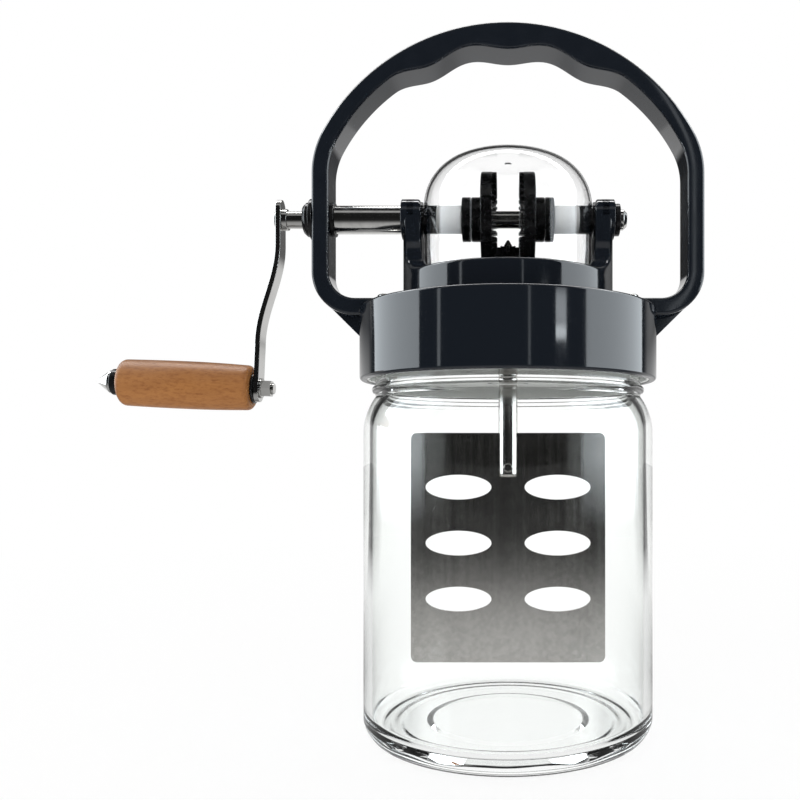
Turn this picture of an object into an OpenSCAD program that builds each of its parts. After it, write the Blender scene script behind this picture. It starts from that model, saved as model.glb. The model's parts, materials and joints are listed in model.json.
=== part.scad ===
// Butter churn: a glass jar with a screw lid. A crank on the lid turns a face wheel, which turns a small
// pinion and the flat perforated dasher below it. A second wheel runs idle on the pinion's other side.
// Millimetres, +Z up. The origin is on the jar's axis, on the table. The crank is on the -X side.

/* [Jar] */
// Outside diameter of the glass body
jar_d = 135; // [130:1:150]
// Thickness of the glass wall
glass_wall = 4; // [3:0.5:5]
// Thickness of the glass floor
glass_floor = 7; // [5:0.5:10]
// Radius of the rounded heel outside
heel_r = 8; // [6:0.5:12]
// Radius between wall and floor inside
floor_fillet = 6; // [4:0.5:10]
// Height of the straight glass body, up to the shoulder
body_h = 139; // [125:1:160]
// Radius of the shoulder's curve
shoulder_r = 28; // [20:1:34]
// How far the neck is set in from the body's side
neck_step = 5.5; // [3.5:0.5:9.5]
// Thickness of the neck's wall
neck_wall = 4.5; // [3.5:0.5:6]
// Height of the neck above the shoulder
neck_h = 35; // [30:1:42]
// Radius of the bead under the lid
bead_r = 1.7; // [1:0.1:2.2]
// Diameter of the recess under the base
punt_d = 76; // [60:1:90]
// Depth of the recess under the base
punt_h = 2.5; // [1:0.5:3.5]

/* [Screw thread] */
// Rise of the thread in one turn
thread_pitch = 7; // [6:0.5:8]
// How many turns the thread makes
thread_turns = 1.25; // [1:0.25:1.5]
// Height of the thread on the glass
thread_h = 1; // [0.6:0.1:1.4]
// Height of the thread in the lid
lid_thread_h = 1.1; // [0.6:0.1:1.6]
// Radial gap between the two crests
thread_gap = 0.5; // [0.4:0.05:0.8]

/* [Lid] */
// Wall of the lid's skirt outside its thread
lid_wall = 4.7; // [3:0.1:6]
// Height of the lid
lid_h = 33.5; // [30:0.5:36]
// Thickness of the lid's top
lid_top = 4; // [3:0.5:6]
// Rounding of the lid's lower edge
lid_edge_r = 2.4; // [1:0.2:2.8]
// Thickness of the sealing ring on the rim
gasket_h = 2; // [1:0.5:3]

/* [Gear housing] */
// Outside diameter of the drum on the lid
drum_d = 98.4; // [94:0.2:104]
// Height of the drum
drum_h = 15; // [12:0.5:18]
// Thickness of the drum's wall and of its ears
drum_wall = 8; // [6:0.5:9]
// Thickness of the drum's floor
drum_floor = 3; // [2:0.5:4]
// Diameter of the round top of each ear
ear_d = 19; // [18.5:0.5:24]
// Radius of the sweep from each ear into the drum
ear_sweep_r = 22; // [14:1:25]
// How far each ear's outer pad stands out from the drum
ear_pad = 0.8; // [0.4:0.2:2]
// Gap between the dome and the drum's wall
dome_gap = 1.5; // [1:0.1:2.5]
// Wall of the clear dome
dome_wall = 2.2; // [1.5:0.1:3]
// Height of the dome's top above the shaft's axis
dome_rise = 28.5; // [27:0.5:32]
// Radius of the dome's rounded top edge
dome_round_r = 23.5; // [18:0.5:27]

/* [Shaft and wheels] */
// Diameter of the crank shaft
shaft_d = 8; // [7:0.2:9]
// Height of the shaft's axis above the lid's top
shaft_rise = 43.5; // [41:0.5:50]
// Size of the teeth: pitch diameter of a wheel over its number of teeth
tooth_module = 1; // [0.9:0.05:1.1]
// Teeth on each face wheel
wheel_teeth = 40; // [36:2:44]
// Teeth on the pinion
pinion_teeth = 12; // [12:2:16]
// Length of the wheels' teeth along the radius
tooth_l = 4; // [3:0.5:5]
// Height of the pinion
pinion_h = 12.6; // [10:0.2:14]
// Thickness of the wheels' rims behind the teeth
rim_t = 5.2; // [4:0.2:7]
// Diameter of the wheels' hubs and of the set collars
hub_d = 20.5; // [16:0.5:24]
// Length of the wheels' hubs behind the rim
hub_l = 4.7; // [4:0.1:6]
// Length of each set collar
collar_l = 4; // [3.5:0.1:5]
// Outside diameter of the sleeve, the spacers and the ear bushes' noses on the shaft
sleeve_d = 13.1; // [12:0.1:14.5]
// Outside diameter of the bushes in the ears and in the handle
bush_d = 11; // [10.5:0.1:11.5]
// Diameter of the flanges on the ear bushes
ear_flange_d = 16.4; // [15.6:0.2:18]
// How far the nose of each ear bush reaches in through the dome
ear_nose_l = 6.2; // [2:0.2:10]

/* [Crank] */
// Distance from the shaft's axis to the grip's axis
crank_throw = 79.7; // [60:0.5:100]
// Width of the flat crank arm
arm_w = 10; // [8:0.5:13]
// Thickness of the flat crank arm
arm_t = 2.4; // [2:0.1:4]
// How far the arm's bend carries the grip outwards
arm_offset = 9.6; // [4:0.2:16]
// Free shaft between the handle's bush and the arm
arm_standoff = 10.2; // [5:0.2:14]
// Tilt of the grip's axis, outer end up, in degrees
grip_tilt = 2.5; // [0:0.5:4]
// Length of the wooden grip
grip_l = 61.8; // [50:0.2:80]
// Diameter of the grip at its middle
grip_d = 22.6; // [20:0.2:28]
// How much thinner the grip is at its outer end
grip_taper_out = 0.8; // [0:0.1:3]
// How much thinner the grip is at the arm
grip_taper_in = 1.6; // [0:0.1:3]
// Diameter of the spindle in the grip
spindle_d = 5; // [4:0.2:6]

/* [Carry handle] */
// Width over the handle's legs
handle_w = 182.4; // [176:0.4:190]
// Height of the handle above the lid's top
handle_h = 133.3; // [128:0.5:145]
// Thickness of the handle's bar
handle_t = 8; // [7:0.2:10]
// Depth of the handle from front to back
handle_depth = 19; // [16:0.5:24]
// Radius of the arch
arch_r = 98.5; // [97:0.5:106]
// Radius where the arch turns into the legs
arch_corner_r = 40; // [30:1:50]
// Radius where the legs turn into the feet
foot_corner_r = 20; // [18:0.5:21]
// How far the feet hook below the lid's top edge
foot_drop = 2.8; // [2:0.2:4]
// Height of the waves under the finger grip
wave_h = 4.65; // [3:0.05:6]
// Height left in the grooves between the waves
groove_h = 1.55; // [0.5:0.05:2.5]
// Angle from one wave to the next, in degrees
wave_step = 24.3; // [20:0.1:28]
// Thickness of the gusset under each foot
gusset_t = 3; // [2:0.5:6]

/* [Dasher] */
// Diameter of the dasher's rod
rod_d = 9; // [8.4:0.2:11]
// Diameter of the rod in its bush
rod_neck_d = 7; // [6.6:0.1:7.6]
// Diameter of the rod in the pinion
pinion_seat_d = 5.4; // [5:0.1:5.8]
// Reach of the rod below the lid's top
rod_reach = 78.2; // [66:0.2:82]
// Width of the paddle
paddle_w = 92.3; // [80:0.5:104]
// Height of the paddle
paddle_h = 108.2; // [100:0.2:110]
// Thickness of the paddle
paddle_t = 1.4; // [1:0.1:2]
// How far the paddle runs up into the rod's slot
slot_l = 20.8; // [16:0.2:26]
// Radius of the paddle's corners
paddle_corner_r = 3; // [1:0.5:6]
// Width of each oval hole
oval_w = 31.3; // [24:0.1:34]
// Height of each oval hole
oval_h = 11.7; // [8:0.1:15]
// Distance between the two columns of holes
oval_dx = 47; // [45:0.1:52]
// Distance between the rows of holes
oval_dz = 26.4; // [20:0.1:30]
// Diameter of the rivet through the rod
rivet_d = 3; // [2:0.1:4]

/* [Hidden] */
$fn = 96;

// Clearances
seat_gap = 0.02;
run_gap = 0.08;
part_gap = 0.3;
foot_gap = 0.15;
cut = 1;

// Colours
glass_tint = [0.80, 0.88, 0.88, 0.35];
clear_tint = [0.85, 0.88, 0.90, 0.35];
dark_plastic = [0.06, 0.07, 0.10];
black_plastic = [0.04, 0.04, 0.05];
nylon = [0.86, 0.86, 0.82];
steel = [0.62, 0.63, 0.65];
bright_steel = [0.78, 0.79, 0.81];
brass = [0.72, 0.58, 0.32];
rubber = [0.78, 0.78, 0.76];
beech = [0.76, 0.58, 0.38];

// Levels of jar and lid
jar_r = jar_d / 2;
neck_r = jar_r - neck_step;
shoulder_rise = shoulder_r * sin(acos(1 - neck_step / shoulder_r));
neck_z = body_h + shoulder_rise;
rim_z = neck_z + neck_h;
lid_under_z = rim_z + gasket_h;
lid_top_z = lid_under_z + lid_top;
lid_bottom_z = lid_top_z - lid_h;
lid_thread_r = neck_r + thread_h + thread_gap;
lid_bore_r = lid_thread_r + lid_thread_h;
lid_r = lid_bore_r + lid_wall;
bead_up = 3.2;
bead_z = neck_z + bead_up;
thread_below_rim = 7;
thread_root_sink = 0.6;
thread_z = rim_z - thread_below_rim - thread_pitch * thread_turns;

// Housing, ears and dome
drum_r = drum_d / 2;
drum_in_r = drum_r - drum_wall;
drum_floor_z = lid_top_z + drum_floor;
drum_top_z = lid_top_z + drum_h;
shaft_z = lid_top_z + shaft_rise;
ear_out_x = drum_r + ear_pad;
spot_depth = 0.8;
ear_in_x = drum_in_r + spot_depth;
dome_r = drum_in_r - dome_gap;
dome_top_z = shaft_z + dome_rise;
flange_in_x = dome_r + part_gap;
ear_nose_x = dome_r - ear_nose_l;

// Teeth, in proportion to their module
addendum = 0.7 * tooth_module;
wheel_dedendum = 1.3 * tooth_module;
pinion_dedendum = 1.4 * tooth_module;
tooth_tip_w = 0.6 * tooth_module;
tooth_root_w = 1.15 * tooth_module;
wheel_pitch_r = wheel_teeth * tooth_module / 2;
pinion_pitch_r = pinion_teeth * tooth_module / 2;
tooth_h = addendum + wheel_dedendum;
wheel_r = wheel_pitch_r + tooth_l / 2;
tooth_in_r = wheel_pitch_r - tooth_l / 2;
tooth_tip_x = pinion_pitch_r - addendum;
rim_front_x = tooth_tip_x + tooth_h;
rim_back_x = rim_front_x + rim_t;
hub_back_x = rim_back_x + hub_l;
collar_x = hub_back_x + part_gap;
spacer_x = collar_x + collar_l + part_gap;
rim_margin = 1.5;
rim_w = tooth_l + rim_margin;
tooth_end_gap = 0.2;
web_t = 3.2;
tooth_sink = 0.3;

// Pinion, rod and bush levels
pinion_z = shaft_z - wheel_pitch_r - pinion_h / 2;
thrust_t = 1;
bush_flange_t = 2;
bush_top_z = pinion_z - thrust_t - run_gap;
boss_z = bush_top_z - bush_flange_t;
rod_bush_wall = 2.5;
rod_flange_wall = 4.5;
boss_wall = 4;
seal_lip = 3;
rod_bush_d = rod_neck_d + 2 * rod_bush_wall;
rod_flange_d = rod_neck_d + 2 * rod_flange_wall;
boss_d = rod_bush_d + 2 * boss_wall;
seal_h = 3;
seal_d = rod_bush_d + 2 * seal_lip;
seal_wall = 2;
rod_shoulder_z = lid_under_z - seal_h - part_gap;
rod_end_z = lid_top_z - rod_reach;
paddle_top_z = rod_end_z + slot_l;
paddle_z = paddle_top_z - paddle_h;
rivet_up = 4.4;
rivet_z = rod_end_z + rivet_up;
top_row_drop = 25.6;
tip_cone_h = 4;
tip_cone_r = 0.5;
rod_end_round = 1.5;
thrust_step = 1;
rivet_head_lip = 0.7;
rivet_head_h = 0.7;
rivet_head_chamfer = 0.5;

// Pins, clip and set screws
wheel_pin_d = 2.4;
wheel_pin_x = rim_back_x + hub_l / 2;
pinion_root_r = pinion_pitch_r - pinion_dedendum;
pinion_tooth_sink = 0.4;
pinion_pin_d = 1.6;
pin_inset = 0.2;
clip_t = 1;
clip_lip = 2.5;
clip_groove = 0.8;
clip_d = shaft_d + 2 * clip_lip;
clip_bore = shaft_d - 2 * clip_groove;
clip_x = rim_front_x - part_gap - clip_t;
set_screw_d = 3;
set_screw_inset = 0.6;

// Carry handle
leg_out_x = handle_w / 2;
leg_in_x = leg_out_x - handle_t;
arch_z = lid_top_z + handle_h - arch_r;
arch_in_r = arch_r - handle_t;
corner_x = leg_out_x - arch_corner_r;
corner_z = arch_z + sqrt(pow(arch_r - arch_corner_r, 2) - pow(corner_x, 2));
corner_a = atan2(corner_z - arch_z, corner_x);
foot_z = lid_top_z - foot_drop;
foot_x = leg_out_x - foot_corner_r;
foot_c_z = foot_z + foot_corner_r;
tongue_gap = 0.8;
tongue_x = ear_out_x + tongue_gap;
gusset_a = 36;
gusset_h = 8.7;
wave_tail = 12.7;
handle_screw_x = (tongue_x + lid_bore_r) / 2;
handle_screw_inset = 4.5;
handle_screw_y = handle_depth / 2 - handle_screw_inset;

// Screws
screw_d = 3.6;
screw_head_d = 6.8;
screw_head_h = 2.2;
screw_tip_cover = 1;
handle_screw_bite = lid_top - screw_tip_cover;
housing_screw_r = drum_r - drum_wall / 2;
housing_screw_cover = 5;
housing_screw_bite = drum_h - housing_screw_cover;

// Stack on the shaft, from the arm inwards
bush_step_l = 3.2;
bush_flange_l = 2;
bush_flange_lip = 4.1;
bush_step_lip = 2.4;
bush_chamfer = 1.5;
bush_ring_wall = 2.5;
bush_flange_d = bush_d + 2 * bush_flange_lip;
bush_step_d = bush_d + 2 * bush_step_lip;
bush_ring_l = 1.7;
bush_ring_d = bush_d + 2 * bush_ring_wall;
bush_out_x = leg_out_x + bush_flange_l + bush_step_l;
arm_x = bush_out_x + arm_standoff;
arm_shoulder_l = 2.6;
arm_seat_step = 1;
peen_lip = 0.8;
shaft_end_d = shaft_d - 2 * arm_seat_step;
arm_shoulder_d = shaft_d + 2 * arm_seat_step;
peen_l = 1.2;
peen_d = shaft_end_d + 2 * peen_lip;
end_washer_t = 2.4;
end_nut_lip = 0.8;
end_nut_chamfer = 1.5;
end_seat_step = 1.25;
end_washer_lip = 0.95;
end_nut_d = shaft_d + 2 * end_nut_lip;
end_nut_l = 3.4;
end_seat_d = shaft_d - 2 * end_seat_step;
end_nut_cap = 0.8;
end_washer_x = ear_out_x + part_gap;
end_nut_x = end_washer_x + end_washer_t;
end_washer_d = sleeve_d + 2 * end_washer_lip;

// Crank arm and grip
bend_below_shaft = 12;
bend_above_grip = 20;
grip_z = shaft_z - crank_throw;
bend_top_z = shaft_z - bend_below_shaft;
bend_end_z = grip_z + bend_above_grip;
bend_l = bend_top_z - bend_end_z;
grip_x = arm_x + arm_t / 2 + arm_offset + bend_above_grip * tan(grip_tilt);
arm_head = 9.3;
arm_tail = 6.6;
bend_steps = 18;
thrust_washer_t = 1;
thrust_washer_d = 14.6;
grip_in_u = arm_t / 2 + thrust_washer_t + 2 * run_gap;
grip_out_u = grip_in_u + grip_l;
grip_round_r = 2.6;
end_cap_t = 4.4;
end_cap_lip = 3.7;
end_cap_d = spindle_d + 2 * end_cap_lip;
cone_wall = 2.9;
cone_d = spindle_d + 2 * cone_wall;
cone_tip_d = 1.4;
cone_bore_l = 1.6;
cone_u = grip_out_u + run_gap + end_cap_t;
cone_base_l = 1.1;
cone_l = 6.4;
inner_washer_t = 0.8;
inner_washer_lip = 2.2;
inner_washer_d = spindle_d + 2 * inner_washer_lip;
inner_nut_l = 4.4;
inner_nut_wall = 1.7;
inner_nut_d = spindle_d + 2 * inner_nut_wall;
spindle_tail = 1.2;

// Helpers

// Round bar along X on the shaft's axis, between two places.
module bar_x(x0, x1, d) {
    translate([min(x0, x1), 0, shaft_z])
        rotate([0, 90, 0]) cylinder(h = abs(x1 - x0), d = d);
}

// Tube along X on the shaft's axis, between two places.
module tube_x(x0, x1, d, bore) {
    difference() {
        bar_x(x0, x1, d);
        bar_x(min(x0, x1) - cut, max(x0, x1) + cut, bore);
    }
}

// Upright tube between two levels.
module tube_z(z0, z1, d, bore) {
    translate([0, 0, z0])
        difference() {
            cylinder(h = z1 - z0, d = d);
            translate([0, 0, -cut]) cylinder(h = z1 - z0 + 2 * cut, d = bore);
        }
}

// Round bar along the grip's spindle. Distances count outwards from the arm's middle.
module bar_u(u0, u1, d, d_end) {
    translate([-grip_x, 0, grip_z]) rotate([0, grip_tilt, 0]) translate([-u0, 0, 0])
        rotate([0, -90, 0]) cylinder(h = u1 - u0, d1 = d, d2 = d_end);
}

// Tube along the grip's spindle.
module tube_u(u0, u1, d, bore) {
    difference() {
        bar_u(u0, u1, d, d);
        bar_u(u0 - cut, u1 + cut, bore, bore);
    }
}

// Rectangle from the axis outwards, with its outer corner at the bottom rounded.
module heel_profile(r, z0, z1, fillet) {
    translate([0, z0]) square([r - fillet, z1 - z0]);
    translate([0, z0 + fillet]) square([r, z1 - z0 - fillet]);
    translate([r - fillet, z0 + fillet]) circle(r = fillet);
}

// One helical ridge. Its root lies at root_r and its crest at crest_r, and it fades out at both ends.
module thread_ridge(root_r, crest_r, z0) {
    steps = round(48 * thread_turns);
    root_w = thread_pitch * 0.5;
    crest_w = thread_pitch * 0.22;
    fade = 6;
    low_r = root_r + (crest_r - root_r) * 0.15;
    section = [for (i = [0 : steps])
        let (
            a = 360 * thread_turns * i / steps,
            z = z0 + thread_pitch * thread_turns * i / steps,
            full = min(1, i / fade, (steps - i) / fade),
            r = low_r + (crest_r - low_r) * full
        )
        each [
            [root_r * cos(a), root_r * sin(a), z - root_w / 2],
            [r * cos(a), r * sin(a), z - crest_w / 2],
            [r * cos(a), r * sin(a), z + crest_w / 2],
            [root_r * cos(a), root_r * sin(a), z + root_w / 2]
        ]
    ];
    out = crest_r > root_r;
    sides = [for (i = [0 : steps - 1], k = [0 : 3])
        let (a = 4 * i + k, b = 4 * i + (k + 1) % 4)
        each out ? [[a, b, b + 4], [a, b + 4, a + 4]] : [[b, a, b + 4], [b + 4, a, a + 4]]
    ];
    last = 4 * steps;
    ends = out
        ? [[0, 2, 1], [0, 3, 2], [last, last + 1, last + 2], [last, last + 2, last + 3]]
        : [[0, 1, 2], [0, 2, 3], [last, last + 2, last + 1], [last, last + 3, last + 2]];
    polyhedron(points = section, faces = concat(sides, ends));
}

// Screw with a pan head, standing on its tip.
module pan_screw(shank_l) {
    cylinder(h = shank_l, d = screw_d);
    translate([0, 0, shank_l]) cylinder(h = screw_head_h * 0.4, d = screw_head_d);
    translate([0, 0, shank_l + screw_head_h * 0.4])
        cylinder(h = screw_head_h * 0.6, d1 = screw_head_d, d2 = screw_head_d * 0.6);
}

// The four places of the handle's screws, and of the housing's.
module at_handle_screws() {
    for (x = [-1, 1], y = [-1, 1])
        translate([x * handle_screw_x, y * handle_screw_y, 0]) children();
}
module at_housing_screws() {
    for (a = [45 : 90 : 315]) rotate(a) translate([housing_screw_r, 0, 0]) children();
}

// Jar

module jar_outside() {
    heel_profile(jar_r, 0, body_h, heel_r);
    translate([jar_r - shoulder_r, body_h]) circle(r = shoulder_r);
    translate([0, body_h]) square([neck_r, rim_z - body_h]);
    translate([neck_r, bead_z]) circle(r = bead_r);
}

module jar_inside() {
    heel_profile(jar_r - glass_wall, glass_floor, body_h, floor_fillet);
    translate([jar_r - shoulder_r, body_h]) circle(r = shoulder_r - glass_wall);
    translate([0, body_h]) square([neck_r - neck_wall, rim_z - body_h + cut]);
}

module jar() {
    color(glass_tint) {
        difference() {
            union() {
                rotate_extrude() jar_outside();
                thread_ridge(neck_r - thread_root_sink, neck_r + thread_h, thread_z);
            }
            rotate_extrude() jar_inside();
            translate([0, 0, -cut])
                cylinder(h = punt_h + cut, d1 = punt_d + 2 * cut, d2 = punt_d - 2 * punt_h);
        }
    }
}

module gasket() {
    color(rubber) tube_z(rim_z, lid_under_z, 2 * neck_r, 2 * (neck_r - neck_wall));
}

// Lid

module lid_profile() {
    translate([0, lid_under_z]) square([lid_r, lid_top - lid_edge_r / 2]);
    translate([0, lid_under_z]) square([lid_r - lid_edge_r / 2, lid_top]);
    translate([lid_r - lid_edge_r / 2, lid_top_z - lid_edge_r / 2]) circle(r = lid_edge_r / 2);
    translate([lid_bore_r, lid_bottom_z + lid_edge_r])
        square([lid_wall, lid_h - lid_top - lid_edge_r + cut]);
    translate([lid_bore_r, lid_bottom_z]) square([lid_wall - lid_edge_r, lid_h - lid_top]);
    translate([lid_r - lid_edge_r, lid_bottom_z + lid_edge_r]) circle(r = lid_edge_r);
}

module lid_cap() {
    color(dark_plastic)
        difference() {
            union() {
                rotate_extrude() lid_profile();
                tube_z(lid_under_z - seal_h, lid_under_z + cut,
                    seal_d + 2 * seal_wall, seal_d + 2 * seat_gap);
                thread_ridge(lid_bore_r + thread_root_sink, lid_thread_r, thread_z - thread_pitch / 2);
            }
            translate([0, 0, lid_under_z - cut])
                cylinder(h = lid_top + 2 * cut, d = rod_bush_d + 2 * seat_gap);
            at_housing_screws() translate([0, 0, lid_under_z - cut])
                cylinder(h = lid_top + 2 * cut, d = screw_d + 2 * seat_gap);
            at_handle_screws() translate([0, 0, lid_top_z - handle_screw_bite])
                cylinder(h = lid_top, d = screw_d + 2 * seat_gap);
        }
}

// Gear housing and dome

// Outline of both ears as seen along the shaft, swept out into the drum at the bottom.
module ear_outline() {
    half = ear_d / 2 + ear_sweep_r;
    sweep_z = drum_top_z + ear_sweep_r;
    difference() {
        translate([-half, lid_top_z]) square([2 * half, drum_h + ear_sweep_r]);
        for (side = [-1, 1]) translate([side * half, sweep_z]) circle(r = ear_sweep_r);
    }
    translate([-ear_d / 2, lid_top_z]) square([ear_d, shaft_rise]);
    translate([0, shaft_z]) circle(d = ear_d);
}

module gear_housing() {
    color(dark_plastic)
        difference() {
            union() {
                tube_z(lid_top_z, drum_top_z, drum_d, 2 * drum_in_r);
                translate([0, 0, lid_top_z]) cylinder(h = drum_floor, d = drum_d);
                translate([0, 0, lid_top_z]) cylinder(h = boss_z - lid_top_z, d = boss_d);
                intersection() {
                    tube_z(lid_top_z, shaft_z + ear_d, drum_d, 2 * drum_in_r);
                    translate([-drum_r - cut, 0, 0]) rotate([90, 0, 90])
                        linear_extrude(height = drum_d + 2 * cut) ear_outline();
                }
                for (side = [-1, 1]) bar_x(side * (ear_in_x + cut), side * ear_out_x, ear_d);
            }
            bar_x(-ear_in_x, ear_in_x, ear_flange_d + 2 * part_gap);
            bar_x(-ear_out_x - cut, ear_out_x + cut, bush_d + 2 * seat_gap);
            translate([0, 0, lid_top_z - cut])
                cylinder(h = boss_z - lid_top_z + 2 * cut, d = rod_bush_d + 2 * seat_gap);
            at_housing_screws() translate([0, 0, lid_top_z - cut])
                cylinder(h = housing_screw_bite + cut, d = screw_d + 2 * seat_gap);
        }
}

// Half section of the dome, grown by an amount: zero for its outside, minus the wall for its inside.
module dome_profile(grow) {
    flat_r = dome_r - dome_round_r;
    turn_z = dome_top_z - dome_round_r;
    translate([0, drum_floor_z - cut]) square([dome_r + grow, turn_z - drum_floor_z + cut]);
    translate([0, turn_z]) square([flat_r, dome_round_r + grow]);
    intersection() {
        translate([flat_r, turn_z]) circle(r = dome_round_r + grow);
        translate([flat_r, turn_z]) square(dome_r);
    }
}

module gear_dome() {
    color(clear_tint)
        difference() {
            intersection() {
                rotate_extrude() dome_profile(0);
                translate([0, 0, drum_floor_z]) cylinder(h = 2 * dome_r + shaft_rise, r = dome_r + cut);
            }
            rotate_extrude() dome_profile(-dome_wall);
            bar_x(-dome_r - cut, dome_r + cut, sleeve_d + 2 * part_gap);
        }
}

// Carry handle

// Points on an arc about a centre, after angle a0 and up to angle a1, both above +X.
function arc(x, z, r, a0, a1, steps) =
    [for (i = [1 : steps]) let (a = a0 + (a1 - a0) * i / steps) [x + r * cos(a), z + r * sin(a)]];

// Height of the finger waves above the bar's inside, at an angle from the top.
function wave(a) =
    a <= wave_step
        ? groove_h + (wave_h - groove_h) * (1 + cos(360 * a / wave_step)) / 2
    : a <= wave_step + wave_tail
        ? wave_h * (1 + cos(180 * (a - wave_step) / wave_tail)) / 2
    : 0;

function backwards(list) = [for (i = [len(list) - 1 : -1 : 0]) list[i]];
function mirrored(list) = [for (p = list) [-p[0], p[1]]];

// Outline of the whole bar from foot to foot, waves included.
module handle_outline() {
    arch_steps = 24;
    wave_steps = 44;
    corner_steps = 12;
    outside = concat(
        [[0, arch_z + arch_r]],
        arc(0, arch_z, arch_r, 90, corner_a, arch_steps),
        arc(corner_x, corner_z, arch_corner_r, corner_a, 0, corner_steps),
        [[leg_out_x, foot_c_z]],
        arc(foot_x, foot_c_z, foot_corner_r, 0, -90, corner_steps),
        [[tongue_x, foot_z]]
    );
    inside = concat(
        [[tongue_x, foot_z + handle_t], [foot_x, foot_z + handle_t]],
        arc(foot_x, foot_c_z, foot_corner_r - handle_t, -90, 0, corner_steps),
        [[leg_in_x, corner_z]],
        arc(corner_x, corner_z, arch_corner_r - handle_t, 0, corner_a, corner_steps),
        [for (i = [1 : wave_steps])
            let (a = (90 - corner_a) * (1 - i / wave_steps), r = arch_in_r - wave(a))
            [r * sin(a), arch_z + r * cos(a)]]
    );
    half = concat(outside, inside);
    other = backwards(mirrored(half));
    polygon(concat(half, [for (i = [1 : len(other) - 2]) other[i]]));
}

// Thin web under the foot on the +X side, down to the lid's skirt.
module gusset() {
    deep = foot_corner_r - handle_t / 2;
    edge_x = lid_r - cut;
    translate([0, gusset_t / 2, 0]) rotate([90, 0, 0]) linear_extrude(height = gusset_t)
        polygon([
            [edge_x, foot_z + handle_t / 2],
            [foot_x, foot_z + handle_t / 2],
            [foot_x + deep * sin(gusset_a), foot_c_z - deep * cos(gusset_a)],
            [foot_x + foot_corner_r * sin(gusset_a), foot_c_z - foot_corner_r * cos(gusset_a)],
            [lid_r + cut, foot_z - gusset_h],
            [edge_x, foot_z - gusset_h]
        ]);
}

module carry_handle() {
    color(dark_plastic)
        difference() {
            union() {
                translate([0, handle_depth / 2, 0]) rotate([90, 0, 0])
                    linear_extrude(height = handle_depth) handle_outline();
                gusset();
                mirror([1, 0, 0]) gusset();
            }
            translate([0, 0, lid_bottom_z]) cylinder(h = lid_h, r = lid_r + foot_gap);
            bar_x(-leg_out_x - cut, -leg_in_x + cut, bush_d + 2 * seat_gap);
            at_handle_screws() translate([0, 0, foot_z])
                cylinder(h = handle_t + cut, d = screw_d + 2 * seat_gap);
        }
}

module handle_screws() {
    color(steel) at_handle_screws() translate([0, 0, lid_top_z - handle_screw_bite])
        pan_screw(handle_screw_bite + handle_t - foot_drop);
}

module housing_screws() {
    color(steel) at_housing_screws() translate([0, 0, lid_top_z + housing_screw_bite])
        mirror([0, 0, 1]) pan_screw(housing_screw_bite + lid_top);
}

// Bushes, sleeve and spacers on the shaft

module handle_bush() {
    bore = shaft_d + 2 * run_gap;
    step_x = leg_out_x + bush_flange_l;
    color(black_plastic)
        difference() {
            union() {
                bar_x(-leg_in_x + bush_ring_l, -leg_out_x, bush_d);
                bar_x(-leg_out_x, -step_x, bush_flange_d);
                bar_x(-step_x, -step_x - bush_step_l / 2, bush_step_d);
                translate([-step_x - bush_step_l / 2, 0, shaft_z]) rotate([0, -90, 0])
                    cylinder(h = bush_step_l / 2, d1 = bush_step_d, d2 = bush_step_d - 2 * bush_chamfer);
            }
            bar_x(-leg_in_x + bush_ring_l + cut, -bush_out_x - cut, bore);
        }
}

module handle_bush_ring() {
    color(black_plastic) tube_x(-leg_in_x, -leg_in_x + bush_ring_l, bush_ring_d, bush_d + 2 * seat_gap);
}

module shaft_sleeve() {
    color(bright_steel) tube_x(-leg_in_x + bush_ring_l, -ear_out_x, sleeve_d, shaft_d + 2 * run_gap);
}

// Bush in the ear on the given side, with a nose through the dome: -1 on the crank's side.
module ear_bush(side) {
    difference() {
        union() {
            bar_x(side * ear_in_x, side * ear_out_x, bush_d);
            bar_x(side * flange_in_x, side * ear_in_x, ear_flange_d);
            bar_x(side * ear_nose_x, side * flange_in_x, sleeve_d);
        }
        bar_x(side * (ear_nose_x - cut), side * (ear_out_x + cut), shaft_d + 2 * run_gap);
    }
}
module left_ear_bush() {
    color(black_plastic) ear_bush(-1);
}
module right_ear_bush() {
    color(black_plastic) ear_bush(1);
}

module left_spacer() {
    color(nylon) tube_x(-ear_nose_x, -spacer_x, sleeve_d, shaft_d + 2 * run_gap);
}
module right_spacer() {
    color(nylon) tube_x(spacer_x, ear_nose_x, sleeve_d, shaft_d + 2 * run_gap);
}

module rod_bush() {
    color(brass)
        difference() {
            union() {
                translate([0, 0, lid_under_z]) cylinder(h = boss_z - lid_under_z, d = rod_bush_d);
                translate([0, 0, boss_z]) cylinder(h = bush_flange_t, d = rod_flange_d);
            }
            translate([0, 0, lid_under_z - cut])
                cylinder(h = bush_top_z - lid_under_z + 2 * cut, d = rod_neck_d + 2 * run_gap);
        }
}

module rod_seal() {
    color(rubber) tube_z(lid_under_z - seal_h, lid_under_z, seal_d, rod_neck_d + 2 * run_gap);
}

// Crank

module crank_shaft() {
    color(steel)
        difference() {
            union() {
                bar_x(-arm_x, end_washer_x, shaft_d);
                bar_x(-arm_x, -arm_x + arm_shoulder_l, arm_shoulder_d);
                bar_x(-arm_x - arm_t, -arm_x, shaft_end_d);
                bar_x(-arm_x - arm_t - peen_l, -arm_x - arm_t, peen_d);
                bar_x(end_washer_x, end_nut_x + end_nut_l - end_nut_cap, end_seat_d);
            }
            drive_pin_bar(wheel_pin_d + 2 * seat_gap);
            tube_x(clip_x, clip_x + clip_t, clip_d, clip_bore);
        }
}

// Middle line of the crank arm: how far it has moved outwards at a height.
function arm_shift(z) =
    z >= bend_top_z ? 0
    : z >= bend_end_z ? arm_offset * (1 - cos(180 * (bend_top_z - z) / bend_l)) / 2
    : arm_offset + (bend_end_z - z) * tan(grip_tilt);

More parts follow.
